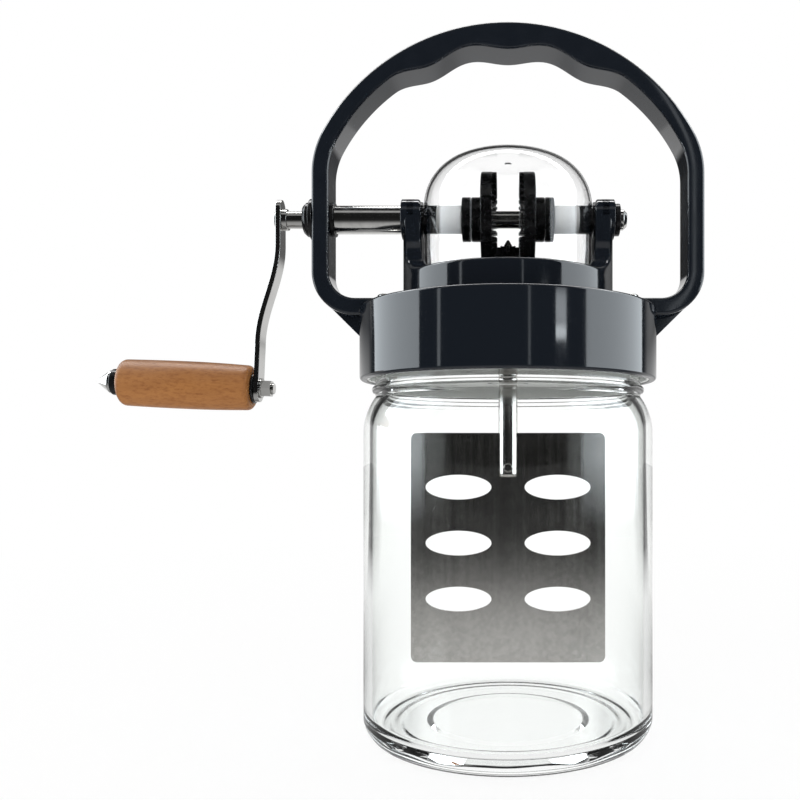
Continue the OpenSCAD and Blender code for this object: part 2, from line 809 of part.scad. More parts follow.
module arm_profile() {
    top = shaft_z + arm_head;
    bottom = grip_z - arm_tail;
    levels = concat([top, bend_top_z],
        [for (i = [1 : bend_steps]) bend_top_z - bend_l * i / bend_steps], [bottom]);
    last = len(levels) - 1;
    near = [for (z = levels) [-arm_x - arm_shift(z), z]];
    far = [for (i = [last : -1 : 0]) [-arm_x - arm_t - arm_shift(levels[i]), levels[i]]];
    polygon(concat(near, far));
}

module crank_arm() {
    end_r = arm_w / 2;
    top = shaft_z + arm_head - end_r;
    bottom = grip_z - arm_tail + end_r;
    color(steel)
        difference() {
            intersection() {
                translate([0, end_r, 0]) rotate([90, 0, 0]) linear_extrude(height = arm_w) arm_profile();
                translate([-grip_x - arm_t - cut, 0, 0]) rotate([90, 0, 90])
                    linear_extrude(height = grip_x) {
                        translate([-end_r, bottom]) square([arm_w, top - bottom]);
                        translate([0, top]) circle(r = end_r);
                        translate([0, bottom]) circle(r = end_r);
                    }
            }
            bar_x(-arm_x - arm_t - cut, -arm_x + cut, shaft_end_d + 2 * seat_gap);
            bar_u(-arm_t - cut, arm_t + cut, spindle_d + 2 * seat_gap, spindle_d + 2 * seat_gap);
        }
}

// Wheels. Each is made on its back with the teeth up, tips at zero, and a gap between teeth along +X.

module drive_pin_bar(d) {
    translate([-wheel_pin_x, 0, shaft_z]) rotate([90, 0, 0])
        cylinder(h = hub_d - 2 * pin_inset, d = d, center = true);
}

module face_wheel() {
    root = -tooth_h;
    pitch_a = 360 / wheel_teeth;
    translate([0, 0, root - rim_t])
        difference() {
            cylinder(h = rim_t, r = wheel_r);
            translate([0, 0, web_t]) cylinder(h = rim_t, r = wheel_r - rim_w);
        }
    translate([0, 0, root - rim_t - hub_l]) cylinder(h = hub_l + rim_t, d = hub_d);
    for (k = [0 : wheel_teeth - 1]) rotate((k + 0.5) * pitch_a)
        translate([tooth_in_r, 0, 0]) rotate([90, 0, 90])
            linear_extrude(height = tooth_l - tooth_end_gap)
                polygon([
                    [-tooth_root_w / 2, root - tooth_sink],
                    [tooth_root_w / 2, root - tooth_sink],
                    [tooth_root_w / 2, root],
                    [tooth_tip_w / 2, 0],
                    [-tooth_tip_w / 2, 0],
                    [-tooth_root_w / 2, root]
                ]);
}

module drive_wheel() {
    color(black_plastic)
        difference() {
            translate([-tooth_tip_x, 0, shaft_z]) rotate([0, 90, 0]) face_wheel();
            bar_x(-hub_back_x - cut, 0, shaft_d + 2 * seat_gap);
            drive_pin_bar(wheel_pin_d + 2 * seat_gap);
        }
}

module idler_wheel() {
    color(black_plastic)
        difference() {
            translate([tooth_tip_x, 0, shaft_z]) rotate([0, -90, 0]) face_wheel();
            bar_x(0, hub_back_x + cut, shaft_d + 2 * run_gap);
        }
}

module drive_wheel_pin() {
    color(bright_steel) drive_pin_bar(wheel_pin_d);
}

module idler_clip() {
    color(steel) tube_x(clip_x, clip_x + clip_t - seat_gap, clip_d, clip_bore + 2 * seat_gap);
}

// Set collar on the given side, with its screw's hole at the top.
module set_collar(side) {
    x0 = side < 0 ? -collar_x - collar_l : collar_x;
    difference() {
        tube_x(x0, x0 + collar_l, hub_d, shaft_d + 2 * seat_gap);
        set_screw(side, set_screw_d + 2 * seat_gap, cut);
    }
}
module set_screw(side, d, extra) {
    translate([side * (collar_x + collar_l / 2), 0, shaft_z + shaft_d / 2 + seat_gap])
        cylinder(h = (hub_d - shaft_d) / 2 - set_screw_inset + 2 * extra, d = d);
}
module left_set_collar() {
    color(black_plastic) set_collar(-1);
}
module right_set_collar() {
    color(black_plastic) set_collar(1);
}
module set_screws() {
    color(steel) for (side = [-1, 1]) set_screw(side, set_screw_d, 0);
}

module end_washer() {
    color(black_plastic) tube_x(end_washer_x, end_nut_x, end_washer_d, end_seat_d + 2 * seat_gap);
}

module end_nut() {
    mid_x = end_nut_x + end_nut_l / 2;
    color(bright_steel)
        difference() {
            union() {
                bar_x(end_nut_x, mid_x, end_nut_d);
                translate([mid_x, 0, shaft_z]) rotate([0, 90, 0])
                    cylinder(h = end_nut_l / 2, d1 = end_nut_d, d2 = end_nut_d - 2 * end_nut_chamfer);
            }
            bar_x(end_nut_x - cut, end_nut_x + end_nut_l - end_nut_cap, end_seat_d + 2 * seat_gap);
        }
}

// Grip

module grip_spindle() {
    color(steel) bar_u(-arm_t / 2 - inner_washer_t - inner_nut_l - spindle_tail,
        cone_u + cone_base_l + cone_bore_l - seat_gap, spindle_d, spindle_d);
}

module grip_arm_washer() {
    color(steel) tube_u(-arm_t / 2 - inner_washer_t, -arm_t / 2, inner_washer_d, spindle_d + 2 * seat_gap);
}

module grip_inner_nut() {
    u = -arm_t / 2 - inner_washer_t;
    color(steel) tube_u(u - inner_nut_l, u, inner_nut_d, spindle_d + 2 * seat_gap);
}

module grip_thrust_washer() {
    color(black_plastic)
        tube_u(arm_t / 2, arm_t / 2 + thrust_washer_t, thrust_washer_d, spindle_d + 2 * seat_gap);
}

// Half section of the barrel-shaped grip, along its axis from the arm outwards.
module grip_profile() {
    steps = 16;
    round_steps = 6;
    half = grip_l / 2;
    swell = function (u)
        grip_d / 2 - (u < half ? grip_taper_in : grip_taper_out) / 2 * pow((u - half) / half, 2);
    r = grip_round_r;
    near = [for (i = [0 : round_steps - 1]) let (a = 90 * i / round_steps)
        [swell(r) - r + r * sin(a), r - r * cos(a)]];
    mid = [for (i = [0 : steps]) let (u = r + (grip_l - 2 * r) * i / steps) [swell(u), u]];
    far = [for (i = [1 : round_steps]) let (a = 90 * i / round_steps)
        [swell(grip_l - r) - r + r * cos(a), grip_l - r + r * sin(a)]];
    polygon(concat([[0, 0]], near, mid, far, [[0, grip_l]]));
}

module wood_grip() {
    color(beech)
        difference() {
            translate([-grip_x, 0, grip_z]) rotate([0, grip_tilt, 0]) translate([-grip_in_u, 0, 0])
                rotate([0, -90, 0]) rotate_extrude() grip_profile();
            bar_u(grip_in_u - cut, grip_out_u + cut, spindle_d + 2 * run_gap, spindle_d + 2 * run_gap);
        }
}

module grip_end_washer() {
    u = grip_out_u + run_gap;
    color(black_plastic) tube_u(u, u + end_cap_t, end_cap_d, spindle_d + 2 * seat_gap);
}

module grip_cone_nut() {
    u = cone_u;
    bore = spindle_d + 2 * seat_gap;
    color(bright_steel)
        difference() {
            union() {
                bar_u(u, u + cone_base_l, cone_d, cone_d);
                bar_u(u + cone_base_l, u + cone_base_l + cone_l, cone_d, cone_tip_d);
            }
            bar_u(u - cut, u + cone_base_l + cone_bore_l, bore, bore);
        }
}

// Dasher

module rod_profile() {
    heel_profile(rod_d / 2, rod_end_z, rod_shoulder_z, rod_end_round);
    translate([0, rod_shoulder_z - cut]) square([rod_neck_d / 2, pinion_z - rod_shoulder_z + cut]);
    top = pinion_z + pinion_h;
    translate([0, pinion_z - cut]) square([pinion_seat_d / 2, pinion_h + cut]);
    polygon([[0, top], [pinion_seat_d / 2, top], [tip_cone_r, top + tip_cone_h], [0, top + tip_cone_h]]);
}

module dasher_rod() {
    slot_w = paddle_t + 2 * seat_gap;
    color(bright_steel)
        difference() {
            rotate_extrude() rod_profile();
            translate([-rod_d, -slot_w / 2, rod_end_z - cut])
                cube([2 * rod_d, slot_w, slot_l + cut + seat_gap]);
            rivet_bar(rivet_d + 2 * seat_gap);
            pinion_pin_bar(pinion_pin_d + 2 * seat_gap);
        }
}

module rivet_bar(d) {
    translate([0, 0, rivet_z]) rotate([90, 0, 0]) cylinder(h = rod_d + 2 * cut, d = d, center = true);
}

module paddle() {
    oval_steps = 32;
    oval = [for (i = [0 : oval_steps - 1]) let (a = 360 * i / oval_steps)
        [oval_w / 2 * cos(a), oval_h / 2 * sin(a)]];
    r = paddle_corner_r;
    half = paddle_w / 2;
    row_z = paddle_top_z - top_row_drop;
    color(bright_steel)
        difference() {
            translate([0, paddle_t / 2, 0]) rotate([90, 0, 0]) linear_extrude(height = paddle_t)
                difference() {
                    union() {
                        translate([-half + r, paddle_z]) square([paddle_w - 2 * r, paddle_h]);
                        translate([-half, paddle_z + r]) square([paddle_w, paddle_h - 2 * r]);
                        for (x = [-1, 1], z = [paddle_z + r, paddle_top_z - r])
                            translate([x * (half - r), z]) circle(r = r);
                    }
                    for (x = [-1, 1], k = [0 : 2])
                        translate([x * oval_dx / 2, row_z - k * oval_dz]) polygon(oval);
                }
            rivet_bar(rivet_d + 2 * seat_gap);
        }
}

module paddle_rivet() {
    head_d = rivet_d + 2 * rivet_head_lip;
    color(steel) {
        translate([0, 0, rivet_z]) rotate([90, 0, 0]) cylinder(h = rod_d, d = rivet_d, center = true);
        for (side = [-1, 1]) translate([0, side * rod_d / 2, rivet_z]) rotate([-90 * side, 0, 0])
            cylinder(h = rivet_head_h, d1 = head_d, d2 = head_d - 2 * rivet_head_chamfer);
    }
}

module pinion_pin_bar(d) {
    translate([0, 0, pinion_z + pinion_pin_d]) rotate([0, 90, 0])
        cylinder(h = 2 * (pinion_root_r - pin_inset), d = d, center = true);
}

module pinion() {
    root_r = pinion_root_r;
    tip_r = pinion_pitch_r + addendum;
    color(black_plastic)
        difference() {
            union() {
                translate([0, 0, pinion_z]) cylinder(h = pinion_h, r = root_r);
                for (k = [0 : pinion_teeth - 1]) rotate(360 * k / pinion_teeth)
                    translate([0, 0, pinion_z]) linear_extrude(height = pinion_h)
                        polygon([
                            [root_r - pinion_tooth_sink, -tooth_root_w / 2],
                            [tip_r, -tooth_tip_w / 2],
                            [tip_r, tooth_tip_w / 2],
                            [root_r - pinion_tooth_sink, tooth_root_w / 2]
                        ]);
            }
            translate([0, 0, pinion_z - cut])
                cylinder(h = pinion_h + 2 * cut, d = pinion_seat_d + 2 * seat_gap);
            pinion_pin_bar(pinion_pin_d + 2 * seat_gap);
        }
}

module pinion_pin() {
    color(steel) pinion_pin_bar(pinion_pin_d);
}

module thrust_washer() {
    color(nylon) tube_z(pinion_z - thrust_t, pinion_z,
        rod_flange_d - 2 * thrust_step, rod_neck_d + 2 * seat_gap);
}

jar();
gasket();
lid_cap();
gear_housing();
gear_dome();
carry_handle();
handle_screws();
housing_screws();
handle_bush();
handle_bush_ring();
shaft_sleeve();
left_ear_bush();
right_ear_bush();
left_spacer();
right_spacer();
rod_bush();
rod_seal();
crank_shaft();
crank_arm();
drive_wheel();
drive_wheel_pin();
left_set_collar();
right_set_collar();
set_screws();
idler_wheel();
idler_clip();
end_washer();
end_nut();
grip_spindle();
grip_inner_nut();
grip_arm_washer();
grip_thrust_washer();
wood_grip();
grip_end_washer();
grip_cone_nut();
dasher_rod();
pinion();
pinion_pin();
thrust_washer();
paddle();
paddle_rivet();
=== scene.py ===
"""Visual model of a hand-cranked glass jar butter churn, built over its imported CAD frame."""

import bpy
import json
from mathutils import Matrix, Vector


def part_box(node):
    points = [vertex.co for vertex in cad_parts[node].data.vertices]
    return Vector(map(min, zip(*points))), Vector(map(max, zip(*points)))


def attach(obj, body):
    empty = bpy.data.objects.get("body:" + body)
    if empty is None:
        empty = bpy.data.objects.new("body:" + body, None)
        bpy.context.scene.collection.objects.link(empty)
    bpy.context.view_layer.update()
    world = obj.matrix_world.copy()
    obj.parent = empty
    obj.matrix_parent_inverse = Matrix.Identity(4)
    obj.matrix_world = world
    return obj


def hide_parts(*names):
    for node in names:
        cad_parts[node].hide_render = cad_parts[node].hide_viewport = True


bl_info = {
    "name": "Glass Jar Butter Churn",
    "version": (1, 0, 0),
    "blender": (4, 5, 0),
    "location": "3D View > Sidebar > Churn",
    "description": "Builds a jar churn with its lid, gears, crank and dasher on a white stage",
    "category": "Object",
}

import json
import math

import bmesh
import bpy
from bpy.props import FloatProperty, FloatVectorProperty, IntProperty, PointerProperty
from mathutils import Matrix, Vector

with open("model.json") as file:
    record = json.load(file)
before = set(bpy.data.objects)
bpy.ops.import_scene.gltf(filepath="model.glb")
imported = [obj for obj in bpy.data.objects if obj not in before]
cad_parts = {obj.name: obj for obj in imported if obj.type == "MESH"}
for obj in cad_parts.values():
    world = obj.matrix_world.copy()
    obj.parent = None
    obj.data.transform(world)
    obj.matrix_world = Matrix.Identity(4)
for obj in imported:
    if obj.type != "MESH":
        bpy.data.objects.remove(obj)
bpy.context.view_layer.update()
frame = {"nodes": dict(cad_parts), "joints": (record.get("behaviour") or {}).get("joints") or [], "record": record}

MM = 0.001
TURN = 2 * math.pi
RECORD = frame["record"]
BODY_OF = {node: body for body, nodes in RECORD["behaviour"]["bodies"].items() for node in nodes}
SLOT_OF = {row["node"]: row["material_slot"] for row in RECORD["subparts"]}
JOINT = {joint["name"]: joint for joint in frame["joints"]}

JAR_AXIS = (Vector((0, 0, 0)), Vector((0, 0, 1)))
SHAFT_AXIS = (Vector(JOINT["crank_spin"]["pos_m"]), Vector((1, 0, 0)))
GRIP_AXIS = (Vector(JOINT["grip_spin"]["pos_m"]), Vector(JOINT["grip_spin"]["axis"]).normalized())
SHAFT_Z = SHAFT_AXIS[0].z
JAR_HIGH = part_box("jar")[1]
LID_LOW, LID_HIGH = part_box("lid_cap")
DRUM_LOW, DRUM_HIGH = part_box("gear_housing")
DOME_LOW, DOME_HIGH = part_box("gear_dome")
LOOP_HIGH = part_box("carry_handle")[1]
ARM_LOW, ARM_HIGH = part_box("crank_arm")
PADDLE_LOW, PADDLE_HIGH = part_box("paddle")
ROD_LOW, ROD_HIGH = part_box("dasher_rod")


# Sizes and colours that a user would change

def length(name, metres, description):
    return FloatProperty(name=name, description=description, default=metres, min=0.0,
                         precision=5, subtype="DISTANCE", unit="LENGTH")


def count(name, number, description):
    return IntProperty(name=name, description=description, default=number, min=1)


def colour(name, rgb, description):
    return FloatVectorProperty(name=name, description=description, default=rgb, size=3,
                               min=0.0, max=1.0, subtype="COLOR")


class JarSizes(bpy.types.PropertyGroup):
    radius: length("Radius", JAR_HIGH.x, "Outside radius of the jar's body")
    rim: length("Rim height", JAR_HIGH.z, "Height of the rim over the table")
    body: length("Body height", 139 * MM, "Height at which the shoulder begins")
    wall: length("Wall", 4 * MM, "Thickness of the body's wall")
    floor: length("Floor", 7 * MM, "Thickness of the floor")
    heel: length("Heel", 8 * MM, "Rounding between the side and the base")
    inner_heel: length("Inner heel", 6 * MM, "Rounding between the floor and the wall inside")
    shoulder: length("Shoulder", 28 * MM, "Radius of the shoulder's curve")
    neck_step: length("Neck step", 5.5 * MM, "How far the neck is set in from the side")
    neck_wall: length("Neck wall", 4.5 * MM, "Thickness of the neck")
    lip: length("Lip", 1.7 * MM, "Rounding of the rim")
    bead: length("Bead", 1.7 * MM, "Radius of the bead around the neck")
    bead_rise: length("Bead rise", 3.2 * MM, "Height of the bead over the foot of the neck")
    push_up: length("Base recess", 38 * MM, "Radius of the recess under the base")
    push_up_depth: length("Recess depth", 2.5 * MM, "Depth of the recess under the base")
    recess_slope: length("Recess slope", 2.5 * MM, "Width of the slope around the recess")
    ripple_span: length("Ripple span", 11.5 * MM, "Width of the rippled ring under the base")
    ripple: length("Ripple", 0.3 * MM, "Depth of the two moulded ripples under the base")
    uneven: length("Unevenness", 0.6 * MM, "How far the heel wanders inwards around the jar")


class LidSizes(bpy.types.PropertyGroup):
    radius: length("Radius", LID_HIGH.y, "Outside radius of the lid")
    bore: length("Bore", 64.6 * MM, "Inside radius of the skirt")
    lining: length("Lining", 1.4 * MM, "Thickness of the threaded lining inside the skirt")
    liner: length("Liner", 56.5 * MM, "Radius of the pale disc under the lid's top")
    top: length("Top", 3.98 * MM, "Thickness of the lid's top")
    top_edge: length("Upper edge", 1.2 * MM, "Rounding of the upper edge")
    low_edge: length("Lower edge", 2.4 * MM, "Rounding of the lower edge")
    rod_bore: length("Rod bore", 6.02 * MM, "Radius of the hole for the rod's bush")
    cup_inner: length("Cup inside", 9.02 * MM, "Inside radius of the seal's cup")
    cup_outer: length("Cup outside", 11 * MM, "Outside radius of the seal's cup")
    cup_depth: length("Cup depth", 3 * MM, "How far the seal's cup hangs under the lid's top")
    pitch: length("Thread pitch", 7 * MM, "Rise of the screw thread in one turn")
    jar_thread: length("Jar thread", 1 * MM, "Height of the thread on the jar")
    lid_thread: length("Lid thread", 1.1 * MM, "Height of the thread in the lid")
    jar_start: length("Jar thread start", 174.92 * MM, "Height at which the jar's thread begins")
    lid_start: length("Lid thread start", 171.4 * MM, "Height at which the lid's thread begins")


class HousingSizes(bpy.types.PropertyGroup):
    radius: length("Drum radius", DRUM_HIGH.y, "Outside radius of the drum")
    inner: length("Drum inside", 41.2 * MM, "Inside radius of the drum")
    rise: length("Drum height", 15 * MM, "Height of the drum over the lid")
    floor: length("Floor", 3 * MM, "Thickness of the drum's floor")
    boss: length("Boss radius", 10 * MM, "Radius of the boss around the rod")
    boss_rise: length("Boss height", 14.12 * MM, "Height of the boss over the lid")
    ear: length("Ear half width", 9.5 * MM, "Half the width of an ear, and the radius of its top")
    sweep: length("Ear sweep", 22 * MM, "Radius of the sweep from the drum into an ear")
    pad: length("Pad face", 50 * MM, "Distance of the pads' faces from the middle")
    pad_root: length("Pad root", 44 * MM, "Distance at which the pads start within the ears")
    edge: length("Edge rounding", 1.3 * MM, "Rounding of the drum's and ears' edges")
    dome_round: length("Dome rounding", 23.5 * MM, "Radius of the dome's shoulder")
    dome_wall: length("Dome wall", 1.3 * MM, "Thickness of the dome")
    dome_hole: length("Dome hole", 6.85 * MM, "Radius of the shaft's holes in the dome")


class LoopSizes(bpy.types.PropertyGroup):
    arch: length("Arch radius", 98.5 * MM, "Outside radius of the arch")
    corner: length("Corner radius", 40 * MM, "Outside radius of the upper corners")
    foot_round: length("Foot radius", 20 * MM, "Outside radius of the lower corners")
    foot_drop: length("Foot drop", 2.8 * MM, "How far the feet hang under the lid's top")
    bar: length("Bar", 8 * MM, "Thickness of the bar")
    tongue: length("Tongue", 50.8 * MM, "Distance of the tongues' ends from the middle")
    edge: length("Edge rounding", 1.6 * MM, "Rounding of the bar's edges")
    finger: length("Finger wave", 3.1 * MM, "Depth of the finger waves under the arch")
    finger_base: length("Wave base", 1.55 * MM, "Thickening of the bar under the finger waves")
    rib: length("Rib", 3 * MM, "Thickness of the ribs under the feet")
    rib_drop: length("Rib drop", 8.7 * MM, "How far the ribs reach under the feet")


class GearSizes(bpy.types.PropertyGroup):
    wheel_teeth: count("Wheel teeth", 40, "Teeth on each face wheel")
    pinion_teeth: count("Pinion teeth", 12, "Teeth on the pinion")
    wheel: length("Wheel radius", 22 * MM, "Radius of the face wheels")
    band: length("Band", 4 * MM, "Width of the band of teeth")
    hub: length("Hub radius", 10.25 * MM, "Radius of the wheels' hubs")
    idler_bore: length("Idler bore", 4.08 * MM, "Radius of the hole in the wheel that runs free")
    web_edge: length("Web edge", 16.5 * MM, "Radius at which the thin web meets the rim")
    tip: length("Tooth tip", 5.3 * MM, "Distance of the tooth tips from the middle")
    root: length("Tooth root", 7.3 * MM, "Distance of the tooth roots from the middle")
    web: length("Web face", 9.3 * MM, "Distance of the web's sunk face from the middle")
    rim: length("Rim back", 12.5 * MM, "Distance of the rim's back from the middle")
    hub_end: length("Hub end", 17.2 * MM, "Distance of the hub's end from the middle")
    root_width: length("Root width", 1.15 * MM, "Width of a tooth at its root")
    tip_width: length("Tip width", 0.6 * MM, "Width of a tooth at its tip")
    pinion_root: length("Pinion root", 4.6 * MM, "Root radius of the pinion")
    pinion_tip: length("Pinion tip", 6.7 * MM, "Tip radius of the pinion")
    pinion_bore: length("Pinion bore", 2.72 * MM, "Radius of the pinion's hole")


class CrankSizes(bpy.types.PropertyGroup):
    shaft: length("Shaft radius", 4 * MM, "Radius of the crank shaft")
    head: length("Head", 3.8 * MM, "Radius of the shaft's head outside the arm")
    tenon: length("Tenon", 3 * MM, "Radius of the shaft within the arm")
    flange: length("Flange", 5 * MM, "Radius of the flange inside the arm")
    flange_thick: length("Flange thickness", 2.6 * MM, "Thickness of the flange inside the arm")
    end: length("Far end", 2.75 * MM, "Radius of the far end, which carries washer and nut")
    seat: length("Seat", 50.3 * MM, "Distance of the far end's seat from the middle")
    bore: length("Bore", 4.02 * MM, "Radius of the holes in the driven wheel and the collars")
    thick: length("Arm thickness", 2.4 * MM, "Thickness of the flat arm")
    bend_top: length("Bend top", 228.2 * MM, "Height at which the arm's bend begins")
    bend_end: length("Bend end", 180.5 * MM, "Height at which the arm's bend ends")
    offset: length("Bend offset", 9.6 * MM, "How far the bend carries the arm outwards")
    collar: length("Collar radius", 10.25 * MM, "Radius of the set collars")
    screw_hole: length("Set screw hole", 1.6 * MM, "Radius of the set collars' screw holes")
    edge: length("Edge rounding", 0.3 * MM, "Rounding of the arm's edges")


class DasherSizes(bpy.types.PropertyGroup):
    rod: length("Rod radius", 4.5 * MM, "Radius of the dasher's rod")
    journal: length("Journal", 3.5 * MM, "Radius of the rod within its bush")
    spigot: length("Spigot", 2.7 * MM, "Radius of the rod within the pinion")
    shoulder: length("Shoulder", 189.37 * MM, "Height of the step from rod to journal")
    seat: length("Pinion seat", 213.87 * MM, "Height of the step from journal to spigot")
    tip: length("Tip", 226.47 * MM, "Height at which the rod's point begins")
    sheet: length("Sheet", 1.4 * MM, "Thickness of the paddle")
    corner: length("Corner", 3 * MM, "Rounding of the paddle's corners")
    hole_length: length("Hole length", 31.3 * MM, "Length of the oval holes")
    hole_width: length("Hole width", 11.7 * MM, "Width of the oval holes")
    hole_spread: length("Hole spread", 47 * MM, "Distance between the two columns of holes")
    hole_rise: length("Hole rise", 26.4 * MM, "Distance between the rows of holes")
    hole_middle: length("Hole middle", 87.27 * MM, "Height of the middle row of holes")


class Colours(bpy.types.PropertyGroup):
    glass: colour("Glass", (0.993, 0.998, 0.995), "Clear glass seen straight through")
    # Glass edge: partly the glass's own green tint, partly painted shade that darkens the glass towards its
    # outline
    glass_edge: colour("Glass edge", (0.86, 0.905, 0.87), "Tint of the glass at its edges")
    dome: colour("Dome", (0.995, 0.995, 0.995), "Clear moulded plastic")
    plastic: colour("Lid plastic", (0.0082, 0.0108, 0.0152), "Near-black navy plastic")
    plastic_worn: colour("Worn plastic", (0.022, 0.026, 0.034), "The same plastic where edges are rubbed")
    black: colour("Black plastic", (0.0045, 0.0045, 0.005), "Satin black plastic")
    nylon: colour("Nylon", (0.95, 0.95, 0.935), "Natural nylon")
    steel: colour("Steel", (0.53, 0.525, 0.51), "Plain steel")
    bright: colour("Polished steel", (0.64, 0.635, 0.62), "Polished steel")
    stainless: colour("Stainless", (0.63, 0.615, 0.59), "Rolled stainless steel")
    brass: colour("Brass", (0.68, 0.47, 0.19), "Turned brass")
    rubber: colour("Silicone", (0.92, 0.92, 0.90), "Silicone seals")
    wood: colour("Beech", (0.385, 0.160, 0.044), "Beech between its flecks")
    wood_dark: colour("Beech flecks", (0.232, 0.080, 0.018), "Flecks and late wood of the beech")


class StageSettings(bpy.types.PropertyGroup):
    lens: FloatProperty(name="Lens", description="Focal length on a 36 mm sensor", default=37.5,
                        min=1.0, subtype="DISTANCE_CAMERA", unit="CAMERA")
    distance: length("Camera distance", 395 * MM, "Distance of the camera in front of the jar's axis")
    height: length("Camera height", 131.2 * MM, "Height of the level camera")
    shift: FloatVectorProperty(name="Shift", description="Sideways and upward shift of the frame",
                               default=(-0.135, 0.0625), size=2)
    ambient: FloatProperty(name="Ambient", description="Even light on dull surfaces", default=0.80, min=0.0)
    half_floor: length("Floor", 6.0, "Half the side of the floor")


class ChurnSettings(bpy.types.PropertyGroup):
    jar: PointerProperty(name="Jar", description="Sizes of the glass jar", type=JarSizes)
    lid: PointerProperty(name="Lid", description="Sizes of the lid and the threads", type=LidSizes)
    housing: PointerProperty(name="Housing", description="Sizes of drum, ears and dome", type=HousingSizes)
    loop: PointerProperty(name="Carry handle", description="Sizes of the carry handle", type=LoopSizes)
    gears: PointerProperty(name="Gears", description="Sizes of wheels and pinion", type=GearSizes)
    crank: PointerProperty(name="Crank", description="Sizes of shaft and arm", type=CrankSizes)
    dasher: PointerProperty(name="Dasher", description="Sizes of rod and paddle", type=DasherSizes)
    colours: PointerProperty(name="Colours", description="Colours of the finishes", type=Colours)
    stage: PointerProperty(name="Stage", description="Camera, light and floor", type=StageSettings)


# Node trees

def fill(tree, node, inputs):
    """Sets a node's sockets, each from a value or from another node's socket."""
    for key, value in inputs.items():
        if isinstance(value, bpy.types.NodeSocket):
            tree.links.new(value, node.inputs[key])
        else:
            node.inputs[key].default_value = value


def add(tree, kind, inputs=None, **settings):
    """A new node with its settings and sockets."""
    node = tree.nodes.new(kind)
    for key, value in settings.items():
        setattr(node, key, value)
    fill(tree, node, inputs or {})
    return node


def out(tree, kind, inputs=None, **settings):
    """The first output of a new node."""
    return add(tree, kind, inputs, **settings).outputs[0]


def maths(tree, operation, *values, clamp=False):
    return out(tree, "ShaderNodeMath", dict(enumerate(values)), operation=operation, use_clamp=clamp)


def times(tree, first, *others):
    """The product of several values."""
    for other in others:
        first = maths(tree, "MULTIPLY", first, other)
    return first


def most(tree, first, second):
    return maths(tree, "MAXIMUM", first, second)


def ramp(tree, value, low, high, to_low=0.0, to_high=1.0):
    """Maps a value between two limits onto another range, held at its ends."""
    limits = {0: value, 1: low, 2: high, 3: to_low, 4: to_high}
    return out(tree, "ShaderNodeMapRange", limits, clamp=True)


def mixed(tree, factor, first, second):
    return add(tree, "ShaderNodeMix", {0: factor, 6: first, 7: second}, data_type="RGBA").outputs[2]


def noise(tree, place, scale, detail=2.0, stretch=(1.0, 1.0, 1.0)):
    spread_out = out(tree, "ShaderNodeMapping", {"Vector": place, "Scale": stretch})
    return out(tree, "ShaderNodeTexNoise", {"Vector": spread_out, "Scale": scale, "Detail": detail})


def parts_of(tree, vector):
    return add(tree, "ShaderNodeSeparateXYZ", {0: vector}).outputs


def new_group(kind, name, inputs, outputs):
    """An empty node group with named sockets, and the sockets of its input node."""
    tree = bpy.data.node_groups.new(name, kind)
    for way, sockets in (("INPUT", inputs), ("OUTPUT", outputs)):
        for title, socket in sockets:
            tree.interface.new_socket(name=title, in_out=way, socket_type="NodeSocket" + socket)
    return tree, tree.nodes.new("NodeGroupInput").outputs


def shader_group(name, inputs, outputs):
    """A shader group whose inputs are a place and some values, and whose outputs are values."""
    given, wanted = ([(title, "Float") for title in titles] for titles in (inputs, outputs))
    return new_group("ShaderNodeTree", name, [("Vector", "Vector"), *given], wanted)


MARKS = ("Scale", "Roughness", "Smudge", "Scratch")


def handling_marks():
    """Smudges from hands and fine scratches, as roughness and height."""
    tree, given = shader_group("Handling marks", MARKS, ("Roughness", "Height"))
    smudge = ramp(tree, noise(tree, given["Vector"], given["Scale"], detail=5.0), 0.42, 0.72)
    fine = times(tree, given["Scale"], 9.0)
    hairs = [ramp(tree, noise(tree, given["Vector"], fine, detail=3.0, stretch=stretch), 0.66, 0.72)
             for stretch in ((1.0, 1.2, 14.0), (13.0, 1.0, 1.1))]
    hair = most(tree, *hairs)
    rough = maths(tree, "MULTIPLY_ADD", smudge, given["Smudge"], given["Roughness"])
    rough = maths(tree, "MULTIPLY_ADD", hair, given["Scratch"], rough, clamp=True)
    height = maths(tree, "MULTIPLY_ADD", hair, -0.5, times(tree, smudge, 0.2))
    add(tree, "NodeGroupOutput", {"Roughness": rough, "Height": height})
    return tree


def drawn_lines():
    """Fine parallel lines left by rolling, drawing or turning, and their broad tone, from 0 to 1."""
    tree, given = new_group("ShaderNodeTree", "Drawn lines", [("Vector", "Vector"), ("Stretch", "Vector")],
                            [("Lines", "Float"), ("Tone", "Float")])
    place = out(tree, "ShaderNodeVectorMath", {0: given["Vector"], 1: given["Stretch"]}, operation="MULTIPLY")
    lines, broad = (out(tree, "ShaderNodeTexNoise", {"Vector": place, "Scale": scale, "Detail": detail})
                    for scale, detail in ((1.0, 4.0), (0.11, 2.0)))
    add(tree, "NodeGroupOutput", {"Lines": ramp(tree, lines, 0.3, 0.7),
                                  "Tone": ramp(tree, broad, 0.35, 0.65)})
    return tree


def edge_wear():
    """Rubbed edges: the piece's own edge attribute, broken up by noise."""
    tree, given = shader_group("Edge wear", ("Scale", "Amount"), ("Mask",))
    edge = add(tree, "ShaderNodeAttribute", attribute_name="edge").outputs["Fac"]
    broken = ramp(tree, noise(tree, given["Vector"], given["Scale"], detail=4.0), 0.38, 0.62)
    mask = maths(tree, "MULTIPLY", times(tree, edge, broken), given["Amount"], clamp=True)
    add(tree, "NodeGroupOutput", {"Mask": mask})
    return tree


def effect(tree, make, inputs):
    """Places a shared shader group in a material and returns its outputs."""
    title = make.__name__.replace("_", " ").capitalize()
    group = bpy.data.node_groups.get(title) or make()
    return add(tree, "ShaderNodeGroup", inputs, node_tree=group).outputs


# Finishes

